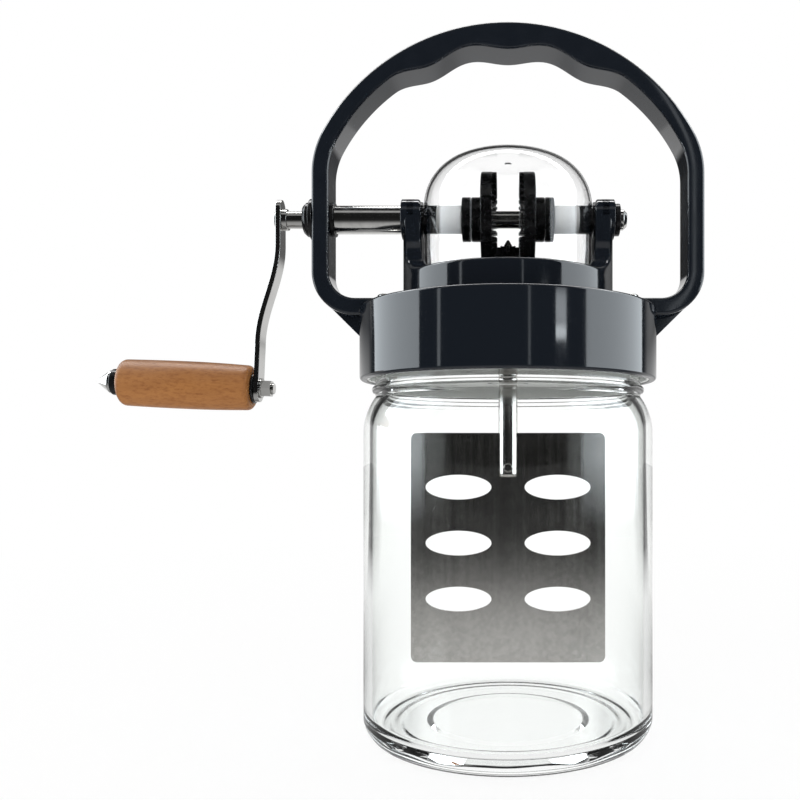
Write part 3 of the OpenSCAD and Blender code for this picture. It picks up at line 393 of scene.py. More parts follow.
FINISH_NAME = "finish_"
SOFT_REFLECTION = (0.4, 0.4, 0.4, 1.0)
RUBBED_BLACK = (0.030, 0.030, 0.032)
METALS = {
    "steel": dict(tint="steel", roughness=0.09, stretch=(900.0, 60.0, 40.0), smudge=0.05, lines=0.4,
                  wear=0.12, depth=0.0006 * MM, grain=0.05),
    "bright_steel": dict(tint="bright", roughness=0.07, stretch=(1800.0, 60.0, 60.0), smudge=0.05, lines=0.35,
                         wear=0.4, depth=0.004 * MM, grain=0.10),
    "stainless": dict(tint="stainless", roughness=0.10, stretch=(420.0, 420.0, 5.0), smudge=0.04, lines=0.55,
                      wear=0.4, depth=0.003 * MM, grain=0.06),
    "bush_brass": dict(tint="brass", roughness=0.22, stretch=(300.0, 300.0, 2200.0), smudge=0.10, lines=0.6,
                       wear=0.6, depth=0.01 * MM, grain=0.10),
}


def rgba(rgb, share=1.0):
    """A colour for a socket, made darker or lighter by a share."""
    return (*(min(1.0, share * part) for part in rgb), 1.0)


def bump(tree, height, strength, depth):
    return out(tree, "ShaderNodeBump", {"Height": height, "Strength": strength, "Distance": depth})


def marks_on(tree, place, scale, roughness, smudge, scratch):
    values = dict(zip(MARKS, (scale, roughness, smudge, scratch)))
    return effect(tree, handling_marks, {"Vector": place, **values})


def wear_on(tree, place, scale, amount):
    return effect(tree, edge_wear, {"Vector": place, "Scale": scale, "Amount": amount})["Mask"]


def clear_glass(tree, place, colours):
    # Painted shade and real tint: where the surface faces away from the view, the glass takes the darker edge
    # colour, which draws its dark edges
    edge = add(tree, "ShaderNodeLayerWeight", {"Blend": 0.25}).outputs["Facing"]
    marks = marks_on(tree, place, scale=22.0, roughness=0.0, smudge=0.012, scratch=0.02)
    waves = noise(tree, place, scale=30.0, detail=1.0, stretch=(1.0, 1.0, 0.35))
    return {"Base Color": mixed(tree, edge, rgba(colours.glass), rgba(colours.glass_edge)),
            "Roughness": marks["Roughness"], "IOR": 1.5, "Transmission Weight": 1.0,
            "Specular Tint": SOFT_REFLECTION,
            "Normal": bump(tree, waves, strength=0.10, depth=0.3 * MM)}


def clear_plastic(tree, place, colours):
    marks = marks_on(tree, place, scale=35.0, roughness=0.0, smudge=0.015, scratch=0.05)
    flow = noise(tree, place, scale=45.0, detail=1.0, stretch=(1.0, 1.0, 0.4))
    return {"Base Color": rgba(colours.dome), "Roughness": marks["Roughness"], "IOR": 1.47,
            "Transmission Weight": 1.0, "Specular Tint": SOFT_REFLECTION,
            "Normal": bump(tree, flow, strength=0.06, depth=0.3 * MM)}


def lid_plastic(tree, place, colours):
    marks = marks_on(tree, place, scale=28.0, roughness=0.055, smudge=0.05, scratch=0.10)
    worn = wear_on(tree, place, scale=160.0, amount=0.25)
    height = maths(tree, "MULTIPLY_ADD", noise(tree, place, scale=420.0, detail=2.0), 0.25, marks["Height"])
    return {"Base Color": mixed(tree, worn, rgba(colours.plastic), rgba(colours.plastic_worn)),
            "Roughness": maths(tree, "MULTIPLY_ADD", worn, 0.12, marks["Roughness"]),
            "IOR": 1.5, "Normal": bump(tree, height, strength=0.025, depth=0.05 * MM)}


def black_plastic(tree, place, colours):
    marks = marks_on(tree, place, scale=70.0, roughness=0.20, smudge=0.10, scratch=0.12)
    worn = wear_on(tree, place, scale=500.0, amount=0.3)
    spark = noise(tree, place, scale=2600.0, detail=2.0)
    return {"Base Color": mixed(tree, worn, rgba(colours.black), rgba(RUBBED_BLACK)),
            "Roughness": marks["Roughness"], "IOR": 1.5, "Specular IOR Level": 0.3,
            "Normal": bump(tree, spark, strength=0.06, depth=0.03 * MM)}


def nylon(tree, place, colours):
    marks = marks_on(tree, place, scale=60.0, roughness=0.16, smudge=0.12, scratch=0.08)
    cloud = ramp(tree, noise(tree, place, scale=120.0, detail=3.0), 0.3, 0.7)
    return {"Base Color": mixed(tree, cloud, rgba(colours.nylon), rgba(colours.nylon, share=0.90)),
            "Roughness": marks["Roughness"], "IOR": 1.53, "Transmission Weight": 0.30,
            "Normal": bump(tree, marks["Height"], strength=0.08, depth=0.05 * MM)}


def metal(tree, place, colours, tint, roughness, stretch, smudge, lines, wear, depth, grain):
    """A bare metal with its drawn or turned lines, handling marks and brighter edges."""
    rgb = getattr(colours, tint)
    marks = marks_on(tree, place, scale=40.0, roughness=roughness, smudge=smudge, scratch=0.08)
    drawn = effect(tree, drawn_lines, {"Vector": place, "Stretch": stretch})
    worn = wear_on(tree, place, scale=420.0, amount=wear)
    dark = mixed(tree, times(tree, drawn["Tone"], lines), rgba(rgb), rgba(rgb, share=0.72))
    return {"Base Color": mixed(tree, worn, dark, rgba(rgb, share=1.22)), "Metallic": 1.0,
            "Roughness": maths(tree, "MULTIPLY_ADD", drawn["Lines"], grain, marks["Roughness"]),
            "Normal": bump(tree, drawn["Lines"], strength=0.25, depth=depth)}


def silicone(tree, place, colours):
    marks = marks_on(tree, place, scale=50.0, roughness=0.45, smudge=0.15, scratch=0.05)
    dust = ramp(tree, noise(tree, place, scale=900.0, detail=3.0), 0.55, 0.75)
    return {"Base Color": mixed(tree, dust, rgba(colours.rubber), rgba(colours.rubber, share=1.08)),
            "Roughness": marks["Roughness"],
            "Normal": bump(tree, marks["Height"], strength=0.1, depth=0.05 * MM)}


def beech(tree, place, colours):
    """Turned beech: long growth bands, short flecks along the grip and a worn, slightly waxed skin."""
    band = ramp(tree, noise(tree, place, scale=1.0, detail=3.0, stretch=(40.0, 260.0, 260.0)), 0.35, 0.68)
    fleck = ramp(tree, noise(tree, place, scale=1.0, detail=3.0, stretch=(300.0, 900.0, 900.0)), 0.48, 0.68)
    pore = ramp(tree, noise(tree, place, scale=1.0, detail=2.0, stretch=(700.0, 2600.0, 2600.0)), 0.54, 0.68)
    marks = marks_on(tree, place, scale=45.0, roughness=0.46, smudge=-0.12, scratch=0.05)
    tone = maths(tree, "MULTIPLY_ADD", band, 0.30, times(tree, fleck, 0.50))
    for mask in (wear_on(tree, place, scale=300.0, amount=0.8), pore):
        tone = maths(tree, "MULTIPLY_ADD", mask, 0.30, tone, clamp=True)
    depth = maths(tree, "MULTIPLY_ADD", pore, -0.5, times(tree, fleck, -1.0))
    return {"Base Color": mixed(tree, tone, rgba(colours.wood), rgba(colours.wood_dark)),
            "Roughness": marks["Roughness"], "IOR": 1.35,
            "Normal": bump(tree, depth, strength=0.35, depth=0.05 * MM)}


FINISHES = {"jar_glass": clear_glass, "dome_clear": clear_plastic, "lid_plastic": lid_plastic,
            "black_plastic": black_plastic, "nylon": nylon, "seal_rubber": silicone, "grip_wood": beech}


def finish(slot):
    """A slot's material, made when it is first asked for."""
    known = bpy.data.materials.get(FINISH_NAME + slot)
    if known:
        return known
    material = bpy.data.materials.new(FINISH_NAME + slot)
    material.use_nodes = True
    tree = material.node_tree
    tree.nodes.clear()
    given = (tree, add(tree, "ShaderNodeTexCoord").outputs["Object"], bpy.context.scene.churn.colours)
    look = metal(*given, **METALS[slot]) if slot in METALS else FINISHES[slot](*given)
    add(tree, "ShaderNodeOutputMaterial", {"Surface": out(tree, "ShaderNodeBsdfPrincipled", look)})
    return material


# Shapes

NEARLY_STRAIGHT = math.radians(172)
SHARE_OF_SIDE = 0.46
WELD = 1e-6


def spread(first, last, steps):
    """Evenly spaced values from the first to the last."""
    return [first + (last - first) * step / steps for step in range(steps + 1)]


def rounded(corners, steps=5):
    """Rounds the corners of an outline, each given as (across, along, rounding)."""
    points = []
    for index, (across, along, fillet) in enumerate(corners):
        here = Vector((across, along))
        before = Vector(corners[index - 1][:2]) - here
        after = Vector(corners[(index + 1) % len(corners)][:2]) - here
        if fillet <= 0 or before.angle(after) > NEARLY_STRAIGHT:
            points.append(here)
            continue
        half = before.angle(after) / 2
        cut = min(fillet / math.tan(half), SHARE_OF_SIDE * min(before.length, after.length))
        centre = here + (before.normalized() + after.normalized()).normalized() * (cut / math.cos(half))
        start = (here + before.normalized() * cut - centre).normalized()
        end = (here + after.normalized() * cut - centre).normalized()
        reach = cut * math.tan(half)
        points.extend(centre + start.slerp(end, step / steps) * reach for step in range(steps + 1))
    return points


def arc(centre_across, centre_along, radius, first, last, steps):
    """Points on a circle between two angles in degrees, without rounding."""
    return [(centre_across + radius * math.cos(a), centre_along + radius * math.sin(a), 0.0)
            for a in map(math.radians, spread(first, last, steps))]


def ring_box(half_u, half_v, rounding, steps=4):
    """A rectangle with round corners, as (u, v) points."""
    corners = [(sign_u * half_u, sign_v * half_v, rounding)
               for sign_u, sign_v in ((1, 1), (-1, 1), (-1, -1), (1, -1))]
    return rounded(corners, steps)


def loft(rings, wrap=False, capped=False):
    """Points and faces of a skin over rings with equal numbers of points."""
    size = len(rings[0])
    points = [point for ring in rings for point in ring]
    faces = []
    for row in range(len(rings) if wrap else len(rings) - 1):
        here, there = row * size, (row + 1) % len(rings) * size
        for spot in range(size):
            after = (spot + 1) % size
            faces.append((here + spot, here + after, there + after, there + spot))
    if capped:
        faces.append(tuple(range(size)))
        faces.append(tuple(range(len(points) - size, len(points))))
    return points, faces


def axis_frame(axis):
    """Places something that stands along Z on an axis."""
    origin, direction = axis
    return Matrix.Translation(origin) @ direction.to_track_quat("Z", "Y").to_matrix().to_4x4()


def lathe(outline, axis=JAR_AXIS, segments=96, closed=True, ridge=None):
    """Turns an outline of (radius, distance along the axis) points about an axis."""
    turned = axis_frame(axis)
    rings = []
    for radius, along in outline:
        ring = []
        for spot in range(segments):
            angle = TURN * spot / segments
            reach = ridge(radius, along, angle) if ridge else radius
            ring.append(turned @ Vector((reach * math.cos(angle), reach * math.sin(angle), along)))
        rings.append(ring)
    return loft(rings, wrap=closed)


def make(name, *shapes):
    """A mesh object at the origin from one or more closed shapes."""
    points, faces = [], []
    for shape_points, shape_faces in shapes:
        start = len(points)
        points.extend(shape_points)
        faces.extend(tuple(start + spot for spot in face) for face in shape_faces)
    mesh = bpy.data.meshes.new(name)
    mesh.from_pydata(points, [], faces)
    shaped = bmesh.new()
    shaped.from_mesh(mesh)
    bmesh.ops.remove_doubles(shaped, verts=shaped.verts, dist=WELD)
    bmesh.ops.recalc_face_normals(shaped, faces=shaped.faces)
    shaped.to_mesh(mesh)
    shaped.free()
    obj = bpy.data.objects.new(name, mesh)
    bpy.context.scene.collection.objects.link(obj)
    return obj


def block(name, rings):
    """A solid over rings, shut at both ends."""
    return make(name, loft(rings, capped=True))


def bake(obj):
    """Turns an object's modifiers into its plain mesh."""
    graph = bpy.context.evaluated_depsgraph_get()
    mesh = bpy.data.meshes.new_from_object(obj.evaluated_get(graph), depsgraph=graph)
    old, obj.data = obj.data, mesh
    obj.modifiers.clear()
    mesh.name = obj.name
    bpy.data.meshes.remove(old)


def carve(obj, tool, operation="DIFFERENCE"):
    """Cuts a tool out of an object, adds it or keeps what both share, and uses the tool up."""
    cut = obj.modifiers.new("Cut", "BOOLEAN")
    cut.object, cut.operation, cut.solver = tool, operation, "EXACT"
    bake(obj)
    bpy.data.objects.remove(tool)


def soften(obj, width):
    """Breaks the edges between faces that stand at more than 50 degrees to each other."""
    bevel = obj.modifiers.new("Edges", "BEVEL")
    bevel.width, bevel.segments = width, 2
    bevel.limit_method, bevel.angle_limit = "ANGLE", math.radians(50)
    bake(obj)


def grow(obj, tree, inputs):
    """Runs a geometry node tree on an object, its inputs set by socket identifier, and keeps the mesh."""
    nodes = obj.modifiers.new(tree.name, "NODES")
    nodes.node_group = tree
    for item in tree.interface.items_tree:
        if item.in_out == "INPUT" and item.name in inputs:
            nodes[item.identifier] = inputs[item.name]
    bake(obj)


def join(obj, *others):
    """Adds other objects' meshes to an object's own."""
    merged = bmesh.new()
    for part in (obj, *others):
        merged.from_mesh(part.data)
    merged.to_mesh(obj.data)
    merged.free()
    for part in others:
        bpy.data.objects.remove(part)


# Degrees between faces: where wear starts, over how much it grows, and from where an edge stays sharp
WEAR_STARTS, WEAR_SPAN, CREASE = 7.0, 14.0, 32.0


def dress(obj, slot):
    """Smooths a piece, marks its edges for wear and gives it a finish."""
    mesh = obj.data
    shaped = bmesh.new()
    shaped.from_mesh(mesh)
    sharpness = [max((edge.calc_face_angle(0.0) for edge in vertex.link_edges), default=0.0)
                 for vertex in shaped.verts]
    shaped.free()
    edge = mesh.attributes.new("edge", "FLOAT", "POINT")
    for spot, angle in enumerate(sharpness):
        edge.data[spot].value = min(1.0, max(0.0, (math.degrees(angle) - WEAR_STARTS) / WEAR_SPAN))
    mesh.shade_smooth()
    mesh.set_sharp_from_angle(angle=math.radians(CREASE))
    mesh.materials.clear()
    mesh.materials.append(finish(slot))
    weighted = obj.modifiers.new("Flat faces", "WEIGHTED_NORMAL")
    weighted.keep_sharp = True
    bake(obj)


def settle(obj, node):
    """Finishes a piece and lets it stand for its CAD node."""
    dress(obj, SLOT_OF[node])
    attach(obj, BODY_OF[node])
    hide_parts(node)


SAME_CORNER = 0.02 * MM


def section_of(node, axis):
    """The outline of a turned CAD node as (radius, distance along the axis) corners in order."""
    origin, direction = axis
    mesh = frame["nodes"][node].data
    corners, spots = [], []
    for vertex in mesh.vertices:
        offset = vertex.co - origin
        along = offset.dot(direction)
        here = ((offset - direction * along).length, along)
        known = next((spot for spot in corners if math.dist(spot, here) < SAME_CORNER), None)
        if known is None:
            known = here
            corners.append(here)
        spots.append(known)
    beside = {}
    for edge in mesh.edges:
        first, second = (spots[spot] for spot in edge.vertices)
        if first != second:
            beside.setdefault(first, set()).add(second)
            beside.setdefault(second, set()).add(first)
    ends = sorted(spot for spot, others in beside.items() if len(others) == 1)
    path = [ends[0] if ends else min(beside)]
    while ahead := sorted(spot for spot in beside[path[-1]] if spot not in path):
        path.append(ahead[0])
    if len(path) != len(beside):
        raise RuntimeError(f"{node} isn't a plain turned piece")
    return [(0.0, path[0][1]), *path, (0.0, path[-1][1])] if ends else path


def spun(name, node, corners, steps=3, **how):
    """A turned piece from rounded corners, which stands for its CAD node."""
    settle(make(name, lathe(rounded(corners, steps), **how)), node)


def turned_piece(name, node, axis, rounding, segments=96):
    """A turned piece with the CAD node's own outline and broken edges."""
    corners = [(radius, along, rounding if radius else 0.0) for radius, along in section_of(node, axis)]
    spun(name, node, corners, axis=axis, segments=segments)


# Trees that repeat a shape

def geometry_group(name, sockets):
    inputs = [("Geometry", "Geometry"), *sockets.items(), ("Material", "Material")]
    return new_group("GeometryNodeTree", name, inputs, [("Geometry", "Geometry")])


def geo(tree, kind, inputs=None, **settings):
    return out(tree, "GeometryNode" + kind, inputs, **settings)


def joined(tree, *shapes):
    both = add(tree, "GeometryNodeJoinGeometry")
    for shape in shapes:
        tree.links.new(shape, both.inputs[0])
    return both.outputs[0]


def finish_tree(tree, geometry, material):
    """Ends a tree with real geometry of one material."""
    real = geo(tree, "RealizeInstances", {"Geometry": geometry})
    painted = geo(tree, "SetMaterial", {"Geometry": real, "Material": material})
    add(tree, "NodeGroupOutput", {"Geometry": painted})
    return tree


def set_copies(tree, given, points, axis, angle):
    """Puts a copy of the object's mesh on each point, turned about an axis, and ends the tree."""
    turn = out(tree, "FunctionNodeAxisAngleToRotation", {"Axis": axis, "Angle": angle})
    copies = geo(tree, "InstanceOnPoints", {"Points": points, "Rotation": turn,
                                            "Instance": given["Geometry"]})
    return finish_tree(tree, copies, given["Material"])


def ring_of_copies():
    """Copies of the object's mesh around an axis, such as gear teeth."""
    tree, given = geometry_group("Ring of copies", {"Count": "Int", "Axis": "Vector", "Centre": "Vector",
                                                    "First angle": "Float"})
    points = geo(tree, "MeshLine", {"Count": given["Count"], "Start Location": given["Centre"],
                                    "Offset": (0.0, 0.0, 0.0)})
    step = maths(tree, "DIVIDE", TURN, given["Count"])
    angle = maths(tree, "MULTIPLY_ADD", geo(tree, "InputIndex"), step, given["First angle"])
    return set_copies(tree, given, points, given["Axis"], angle)


def screws_on_corners():
    """Copies of a screw on the corners of a rectangle, each stopped at its own angle."""
    tree, given = geometry_group("Screws on corners", {"Length": "Float", "Width": "Float", "Height": "Float",
                                                       "Seed": "Int"})
    grid = geo(tree, "MeshGrid", {"Size X": given["Length"], "Size Y": given["Width"],
                                  "Vertices X": 2, "Vertices Y": 2})
    lift = out(tree, "ShaderNodeCombineXYZ", {"Z": given["Height"]})
    raised = geo(tree, "Transform", {"Geometry": grid, "Translation": lift})
    chance = add(tree, "FunctionNodeRandomValue", {2: 0.0, 3: math.pi / 2, "Seed": given["Seed"]},
                 data_type="FLOAT")
    return set_copies(tree, given, raised, (0.0, 0.0, 1.0), chance.outputs[1])


SHEET_SIZES = ("Width", "Height", "Thickness", "Corner", "Hole length", "Hole width", "Hole spread",
               "Hole rise", "Hole middle", "Middle")


def pierced_sheet():
    """A sheet with round corners and two columns of three oval holes, standing in the XZ plane."""
    tree, given = geometry_group("Pierced sheet", dict.fromkeys(SHEET_SIZES, "Float"))
    blank = geo(tree, "CurvePrimitiveQuadrilateral", {"Width": given["Width"], "Height": given["Height"]})
    blank = geo(tree, "FilletCurve", {"Curve": blank, "Radius": given["Corner"], "Count": 8}, mode="POLY")
    circle = geo(tree, "CurvePrimitiveCircle", {"Resolution": 64, "Radius": 0.5})
    size = out(tree, "ShaderNodeCombineXYZ", {"X": given["Hole length"], "Y": given["Hole width"], "Z": 1.0})
    oval = geo(tree, "Transform", {"Geometry": circle, "Scale": size})
    rows = geo(tree, "MeshGrid", {"Size X": given["Hole spread"], "Vertices X": 2, "Vertices Y": 3,
                                  "Size Y": times(tree, given["Hole rise"], 2.0)})
    below = maths(tree, "SUBTRACT", given["Hole middle"], given["Middle"])
    drop = out(tree, "ShaderNodeCombineXYZ", {"Y": below})
    rows = geo(tree, "Transform", {"Geometry": rows, "Translation": drop})
    holes = geo(tree, "InstanceOnPoints", {"Points": rows, "Instance": oval})
    holes = geo(tree, "RealizeInstances", {"Geometry": holes})
    face = geo(tree, "FillCurve", {"Curve": joined(tree, holes, blank)}, mode="TRIANGLES")
    raised = geo(tree, "ExtrudeMesh", {"Mesh": face, "Offset Scale": given["Thickness"], "Individual": False},
                 mode="FACES")
    shell = joined(tree, raised, geo(tree, "FlipFaces", {"Mesh": face}))
    shut = geo(tree, "MergeByDistance", {"Geometry": shell, "Distance": WELD})
    half = times(tree, given["Thickness"], 0.5)
    place = out(tree, "ShaderNodeCombineXYZ", {"Y": half, "Z": given["Middle"]})
    stood = geo(tree, "Transform", {"Geometry": shut, "Translation": place,
                                    "Rotation": (math.pi / 2, 0.0, 0.0)})
    return finish_tree(tree, stood, given["Material"])


# Pieces

ON_WALL = 0.01 * MM
THREAD_TURNS = 1.25
THREAD_ROW = 0.35 * MM


def thread_rows(radius, start, pitch):
    """Closely spaced outline points over the height of a thread."""
    spare = 3 * MM
    low, high = start - spare, start + THREAD_TURNS * pitch + spare
    return [(radius, along, 0.0) for along in spread(low, high, round((high - low) / THREAD_ROW))]


def thread_ridge(wall, height, start, pitch):
    """Raises a screw thread on the wall of one radius, for a lathe to follow."""
    half_root, half_crest, run_out = 1.75 * MM, 0.77 * MM, 0.125

    def ridge(radius, along, angle):
        if abs(radius - wall) > ON_WALL:
            return radius
        share = 0.0
        for wound in (angle / TURN, angle / TURN + 1):
            flank = (half_root - abs(along - start - pitch * wound)) / (half_root - half_crest)
            share = max(share, min(1.0, flank, min(wound, THREAD_TURNS - wound) / run_out))
        return radius + height * share

    return ridge


def peg(name, radius, low, high, axis=JAR_AXIS, segments=192):
    """A plain cylinder to cut with."""
    outline = [(0.0, low), (radius, low), (radius, high), (0.0, high)]
    return make(name, lathe(outline, axis, segments, closed=False))


def shaft_axis(side):
    return SHAFT_AXIS[0], SHAFT_AXIS[1] * side


class CHURN_OT_jar(bpy.types.Operator):
    """Blows the glass jar with its rippled base, uneven heel, shoulder, neck bead and screw thread"""
    bl_idname = "churn.jar"
    bl_label = "Glass jar"

    def execute(self, context):
        jar, lid = context.scene.churn.jar, context.scene.churn.lid
        neck, inner, foot = jar.radius - jar.neck_step, jar.radius - jar.wall, jar.radius - jar.heel
        inner_neck, inner_shoulder = neck - jar.neck_wall, jar.shoulder - jar.wall
        centre = jar.radius - jar.shoulder
        outer_end = math.degrees(math.acos((neck - centre) / jar.shoulder))
        inner_end = math.degrees(math.acos((inner_neck - centre) / inner_shoulder))
        bead_z = jar.body + jar.shoulder * math.sin(math.radians(outer_end)) + jar.bead_rise
        bead_reach, bead_blend, per_ripple = 1.45 * jar.bead, 0.6 * MM, 12
        corners = [(0.0, jar.push_up_depth, 0.0),
                   (jar.push_up - jar.recess_slope, jar.push_up_depth, 1.2 * MM),
                   (jar.push_up, 0.0, 1.0 * MM)]
        corners += [(across, jar.ripple * (1 - math.cos(TURN * step / per_ripple)) / 2, 0.0)
                    for step, across in enumerate(spread(foot - jar.ripple_span, foot, 2 * per_ripple))]
        corners += arc(foot, jar.heel, jar.heel, -81.0, 0.0, 9)
        corners += arc(centre, jar.body, jar.shoulder, 0.0, outer_end, 14)
        corners += [(neck, bead_z - bead_reach, bead_blend), *arc(neck, bead_z, jar.bead, -75.0, 75.0, 10),
                    (neck, bead_z + bead_reach, bead_blend)]
        corners += thread_rows(neck, lid.jar_start, lid.pitch)
        corners += [(neck, jar.rim, jar.lip), (inner_neck, jar.rim, jar.lip)]
        corners += arc(centre, jar.body, inner_shoulder, inner_end, 0.0, 14)
        corners += [(inner, jar.floor, jar.inner_heel), (0.0, jar.floor, 0.0)]
        thread = thread_ridge(neck, lid.jar_thread, lid.jar_start, lid.pitch)
        all_lobes = (5, 9, 14)

        def ridge(radius, along, angle):
            if along < jar.heel and radius > foot:
                wander = sum(math.sin(lobes * angle + lobes * lobes) for lobes in all_lobes) / len(all_lobes)
                return radius - jar.uneven * (1 + wander) / 2 * math.sin(math.pi * along / jar.heel)
            return thread(radius, along, angle)

        spun("glass_jar", "jar", corners, 8, segments=160, closed=False, ridge=ridge)
        return {"FINISHED"}


class CHURN_OT_seals(bpy.types.Operator):
    """Turns the sealing ring, the rod's seal and the rod's brass bush"""
    bl_idname = "churn.seals"
    bl_label = "Seals and rod bush"

    def execute(self, context):
        turned_piece("sealing_ring", "gasket", JAR_AXIS, 0.5 * MM, 128)
        turned_piece("rod_lip_seal", "rod_seal", JAR_AXIS, 0.4 * MM)
        turned_piece("brass_rod_bush", "rod_bush", JAR_AXIS, 0.4 * MM)
        return {"FINISHED"}


class CHURN_OT_lid(bpy.types.Operator):
    """Moulds the screw lid with its cup for the rod's seal, and its threaded lining"""
    bl_idname = "churn.lid"
    bl_label = "Screw lid"

    def execute(self, context):
        lid = context.scene.churn.lid
        top, low, fine, soft = LID_HIGH.z, LID_LOW.z, 0.3 * MM, 0.5 * MM
        under, seat = top - lid.top, lid.bore + lid.lining
        cup = under - lid.cup_depth
        corners = [(lid.rod_bore, top, 0.0), (lid.radius, top, lid.top_edge), (lid.radius, low, lid.low_edge),
                   (seat, low, soft), (seat, under, fine), (lid.cup_outer, under, soft),
                   (lid.cup_outer, cup, soft), (lid.cup_inner, cup, fine), (lid.cup_inner, under, 0.0),
                   (lid.rod_bore, under, 0.0)]
        spun("screw_lid", "lid_cap", corners, 6, segments=192)
        self.lining(lid, low, under)
        return {"FINISHED"}

    def lining(self, lid, lid_low, under):
        """The pale threaded inside of the skirt, and the disc under the lid's top."""
        low, roof, face, blend = lid_low + 0.6 * MM, under - 0.05 * MM, under - 0.6 * MM, 0.6 * MM
        outer, start = lid.bore + lid.lining - 0.02 * MM, lid.cup_outer + 0.3 * MM
        corners = [(outer, low, 0.2 * MM), (lid.bore, low, blend),
                   *thread_rows(lid.bore, lid.lid_start, lid.pitch),
                   (lid.bore, roof, blend), (outer, roof, 0.0)]
        ridge = thread_ridge(lid.bore, -lid.lid_thread, lid.lid_start, lid.pitch)
        disc = [(start, roof), (lid.liner, roof), (lid.liner, face), (start, face)]
        ring = make("lid_lining", lathe(rounded(corners, 4), segments=192, ridge=ridge),
                    lathe(disc, segments=128))
        dress(ring, "seal_rubber")
        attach(ring, BODY_OF["lid_cap"])


class CHURN_OT_housing(bpy.types.Operator):
    """Lofts the gear drum, whose wall sweeps up into the two ears that carry the shaft"""
    bl_idname = "churn.housing"
    bl_label = "Gear drum"

    def execute(self, context):
        size, rod_bore = context.scene.churn.housing, context.scene.churn.lid.rod_bore
        base, edge, reach = DRUM_LOW.z, size.edge, size.ear + size.sweep
        rise, floor, boss_top = base + size.rise, base + size.floor, base + size.boss_rise
        blend, cove, chamfer, under_edge = 0.6 * MM, 0.8 * MM, 0.5 * MM, rise - 2 * edge

        def spot(station, radius, drop=None, level=None):
            """A rib's point on a cylinder: some way under its edge, or at a level, spread evenly."""
            side, y, z, ny, nz, even, along_flat = station
            if level is None:
                level = z - nz * drop
            if along_flat is not None:
                start = math.asin(reach / radius) if radius > reach else math.pi / 4
                angle = start + (math.pi - 2 * start) * along_flat
                return Vector((side * radius * math.cos(angle), side * radius * math.sin(angle), level))
            if radius <= reach:
                angle = even * math.pi / 4
                return Vector((side * radius * math.cos(angle), radius * math.sin(angle), level))
            across = even * reach if drop is None else y - ny * drop
            return Vector((side * math.sqrt(radius * radius - across * across), across, level))

        def between(first, last, shares, radius):
            """Points on the way between two others, brought back onto their cylinder."""
            for point in (first.lerp(last, share) for share in shares):
                flat_reach = math.hypot(point.x, point.y)
                yield Vector((point.x * radius / flat_reach, point.y * radius / flat_reach, point.z))

        levels = [base, *(base + blend + (under_edge - base) * share for share in (0.0, 0.25, 0.5, 0.75))]
        bends = [(edge * (1 - math.cos(a)), edge * (1 - math.sin(a)))
                 for a in map(math.radians, spread(0.0, 90.0, 5))]
        inside = ((size.inner - cove, floor), (size.boss + blend, floor), (size.boss, floor + blend),
                  (size.boss, boss_top - chamfer), (size.boss - chamfer, boss_top), (rod_bore, boss_top),
                  (rod_bore, base))
        ribs = []
        for station in self.stations(size, rise):
            rib = [spot(station, size.radius, level=level) for level in levels]
            rib += between(spot(station, size.radius, level=under_edge), spot(station, size.radius, edge),
                           (0.0, 0.35, 0.7), size.radius)
            rib += [spot(station, size.radius - back, drop) for back, drop in bends]
            rib += [spot(station, size.inner + back, drop) for back, drop in reversed(bends)]
            rib += between(spot(station, size.inner, edge), spot(station, size.inner, level=floor + cove),
                           (0.3, 0.65, 1.0), size.inner)
            rib += [spot(station, radius, level=level) for radius, level in inside]
            ribs.append(rib)
        corners = [(0.0, size.pad_root, 0.0), (size.ear, size.pad_root, 0.0), (size.ear, size.pad, chamfer),
                   (0.0, size.pad, 0.0)]
        pads = [lathe(rounded(corners), shaft_axis(side), 64, closed=False) for side in (1, -1)]
        settle(make("gear_drum", loft(ribs, wrap=True), *pads), "gear_housing")
        return {"FINISHED"}

    def stations(self, size, rise):
        """Where the loft's ribs stand: side, edge and its normal, and the share of the way on ear or flat."""
        reach, straight, flat = size.ear + size.sweep, rise + size.sweep, 36
        half = [(reach - size.sweep * math.sin(a), straight - size.sweep * math.cos(a),
                 math.sin(a), math.cos(a)) for a in map(math.radians, spread(0.0, 90.0, 14))]
        half += [(size.ear, z, 1.0, 0.0) for z in spread(straight, SHAFT_Z, 3)[1:-1]]
        half += [(size.ear * math.cos(a), SHAFT_Z + size.ear * math.sin(a), math.cos(a), math.sin(a))
                 for a in map(math.radians, spread(0.0, 90.0, 16))]
        ear = [(-y, z, -ny, nz) for y, z, ny, nz in half] + half[-2::-1]
        for side in (1, -1):
            for (y, z, ny, nz), even in zip(ear, spread(-1.0, 1.0, len(ear) - 1)):
                yield side, side * y, z, side * ny, nz, side * even, None
            for along_flat in spread(0.0, 1.0, flat)[1:-1]:
                yield side, 0.0, rise, 0.0, 1.0, 0.0, along_flat


class CHURN_OT_dome(bpy.types.Operator):
    """Blow-moulds the clear dome over the gears, with its shaft holes and gate mark"""
    bl_idname = "churn.dome"
    bl_label = "Clear dome"

    def execute(self, context):
        size = context.scene.churn.housing
        radius, low, high, wall = DOME_HIGH.y, DOME_LOW.z, DOME_HIGH.z, size.dome_wall
        flat, shoulder, roof = radius - size.dome_round, high - size.dome_round, high - wall
        edge, gate, gate_low, gate_edge = 0.3 * MM, 1.5 * MM, roof - 0.5 * MM, 0.2 * MM
        corners = [(radius, low, edge), *arc(flat, shoulder, size.dome_round, 0.0, 90.0, 28),
                   (0.0, high, 0.0), (0.0, gate_low, 0.0), (gate, gate_low, gate_edge),
                   (gate, roof, gate_edge),
                   *arc(flat, shoulder, size.dome_round - wall, 90.0, 0.0, 28), (radius - wall, low, edge)]
        dome = make("clear_dome", lathe(rounded(corners), segments=144))
        reach = radius + 5 * MM
        carve(dome, peg("shaft_way", size.dome_hole, -reach, reach, SHAFT_AXIS, 72))
        settle(dome, "gear_dome")
        return {"FINISHED"}


